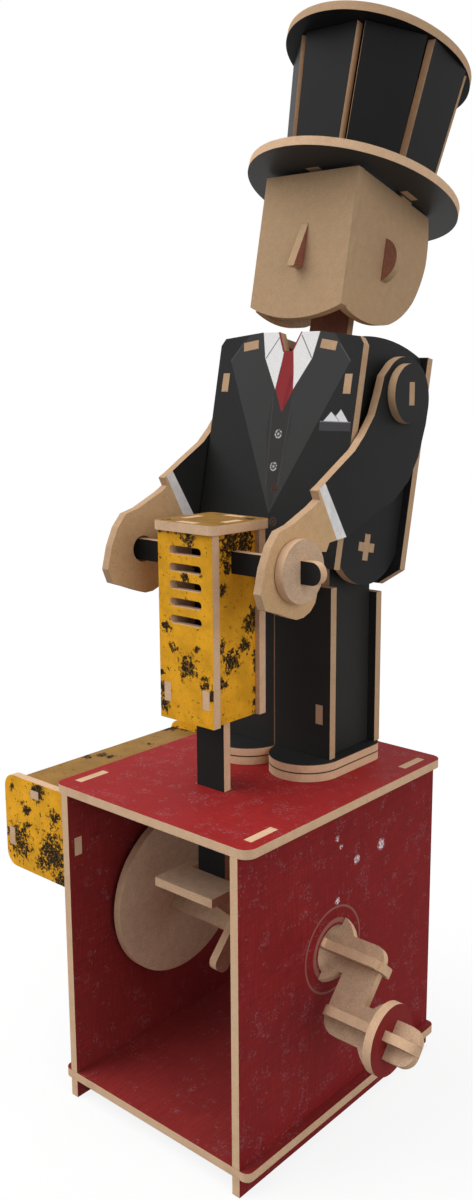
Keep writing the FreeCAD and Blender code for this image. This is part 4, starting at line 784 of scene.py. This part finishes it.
dress("hip_axle_flat", bare, bare, figure_edge_painted_shade, HIP)
dress("hip_axle_rib", bare, bare, figure_edge_painted_shade, HIP)
dress("chest_panel", chest, bare, figure_edge_painted_shade, TORSO_MIDDLE)
dress("back_panel", charcoal_board, charcoal_board, figure_edge_painted_shade, TORSO_MIDDLE)
dress("face_panel", skin, bare, head_edge, HEAD_INSIDE)
dress("neck_and_ears", ear, neck_painted_shade, head_edge, FAR_BEHIND)
dress("nose", maroon, maroon, head_edge, HIP)
dress("hat_brim", brim_print(), hat_board, edge, HAT_CENTRE)
for part in ("top_disc", "front_panel", "back_panel", "side_panels", "corner_panels"):
    dress(f"hat_{part}", hat_board, hat_board, figure_edge_painted_shade, HAT_CENTRE)


# ---- studio ----


PURE_WHITE = (1, 1, 1, 1)
# The floor: its colour as seen and as it lights the object, how much of what is seen glows
# white, and its reach in metres.
FLOOR_SEEN = (0.95, 0.95, 0.95, 1)
FLOOR_BOUNCE = (0.25, 0.25, 0.25, 1)
FLOOR_GLOW = 0.86
FLOOR_REACH = 6.0

# Strength of the surroundings as light on the object.
WORLD_LIGHT = 0.17
# Sun lamps: name, direction towards the lamp, strength, spread in degrees.
SUNS = (
    ("top", (0.0, -0.10, 0.99), 1.05, 60),
    ("left", (-0.60, -0.50, 0.62), 2.3, 60),
    ("right", (0.95, -0.20, 0.20), 1.5, 60),
    ("back", (0.10, 0.95, 0.30), 1.0, 70),
)


def seen_directly(tree):
    """1 for what the camera sees, straight or in gloss or glass; 0 for light on the object."""
    path = tree.nodes.new("ShaderNodeLightPath")
    seen = path.outputs["Is Camera Ray"]
    for name in ("Is Glossy Ray", "Is Transmission Ray"):
        either = tree.nodes.new("ShaderNodeMath")
        either.operation = "MAXIMUM"
        tree.links.new(seen, either.inputs[0])
        tree.links.new(path.outputs[name], either.inputs[1])
        seen = either.outputs[0]
    return seen


def make_floor():
    """Wide white floor that keeps the shadow."""
    mesh = bpy.data.meshes.new("floor")
    corners = [(x * FLOOR_REACH, y * FLOOR_REACH, 0) for x, y in ((-1, -1), (1, -1), (1, 1), (-1, 1))]
    mesh.from_pydata(corners, [], [(0, 1, 2, 3)])
    floor = bpy.data.objects.new("floor", mesh)
    bpy.context.scene.collection.objects.link(floor)
    shader = Shader("floor")
    paper = shader.node("ShaderNodeBsdfDiffuse")
    glow = shader.node("ShaderNodeEmission")
    glow.inputs["Color"].default_value = PURE_WHITE
    glow.inputs["Strength"].default_value = 1.0
    seen = seen_directly(shader.tree)
    shader.feed(paper.inputs["Color"], shader.mix(seen, FLOOR_BOUNCE, FLOOR_SEEN))
    both = shader.node("ShaderNodeMixShader")
    shader.feed(both.inputs[0], shader.math("MULTIPLY", seen, FLOOR_GLOW))
    shader.feed(both.inputs[1], paper.outputs[0])
    shader.feed(both.inputs[2], glow.outputs[0])
    output = shader.node("ShaderNodeOutputMaterial")
    shader.feed(output.inputs["Surface"], both.outputs[0])
    mesh.materials.append(shader.material)


def make_world():
    """Even pale surroundings, seen as white."""
    world = bpy.data.worlds.new("studio")
    bpy.context.scene.world = world
    world.use_nodes = True
    tree = world.node_tree
    tree.nodes.clear()
    seen = seen_directly(tree)
    strength = tree.nodes.new("ShaderNodeMapRange")
    strength.inputs["To Min"].default_value = WORLD_LIGHT
    strength.inputs["To Max"].default_value = 1.0
    background = tree.nodes.new("ShaderNodeBackground")
    background.inputs["Color"].default_value = PURE_WHITE
    output = tree.nodes.new("ShaderNodeOutputWorld")
    tree.links.new(seen, strength.inputs["Value"])
    tree.links.new(strength.outputs[0], background.inputs["Strength"])
    tree.links.new(background.outputs[0], output.inputs["Surface"])


def make_suns():
    for name, towards, strength, spread in SUNS:
        lamp = bpy.data.lights.new(name, "SUN")
        lamp.energy = strength
        lamp.angle = math.radians(spread)
        sun = bpy.data.objects.new(name, lamp)
        sun.rotation_mode = "QUATERNION"
        sun.rotation_quaternion = Vector(towards).to_track_quat("Z", "Y")
        bpy.context.scene.collection.objects.link(sun)


def make_camera():
    """The photograph's camera: its place, direction and frame."""
    azimuth = math.radians(CAMERA_AZIMUTH)
    elevation = math.radians(CAMERA_ELEVATION)
    roll = math.radians(CAMERA_ROLL)
    level = math.cos(elevation)
    back = Vector((math.sin(azimuth) * level, -math.cos(azimuth) * level, math.sin(elevation)))
    right = (-back).cross(Vector((0, 0, 1))).normalized()
    up = right.cross(-back)
    rolled_right = right * math.cos(roll) + up * math.sin(roll)
    rolled_up = -right * math.sin(roll) + up * math.cos(roll)
    data = bpy.data.cameras.new("camera")
    data.sensor_fit = "AUTO"
    data.lens = FOCAL_PIXELS / PHOTO_HEIGHT * data.sensor_width
    data.shift_x = (PHOTO_WIDTH / 2 - OPTIC_X) / PHOTO_HEIGHT
    data.shift_y = (OPTIC_Y - PHOTO_HEIGHT / 2) / PHOTO_HEIGHT
    data.clip_start = 0.01
    camera = bpy.data.objects.new("camera", data)
    turn = Matrix((rolled_right, rolled_up, back)).transposed().to_4x4()
    camera.matrix_world = Matrix.Translation(BOX_ORIGIN + Vector(CAMERA_AT)) @ turn
    bpy.context.scene.collection.objects.link(camera)
    bpy.context.scene.camera = camera


make_floor()
make_world()
make_suns()
make_camera()
bpy.context.scene.view_settings.view_transform = "Standard"
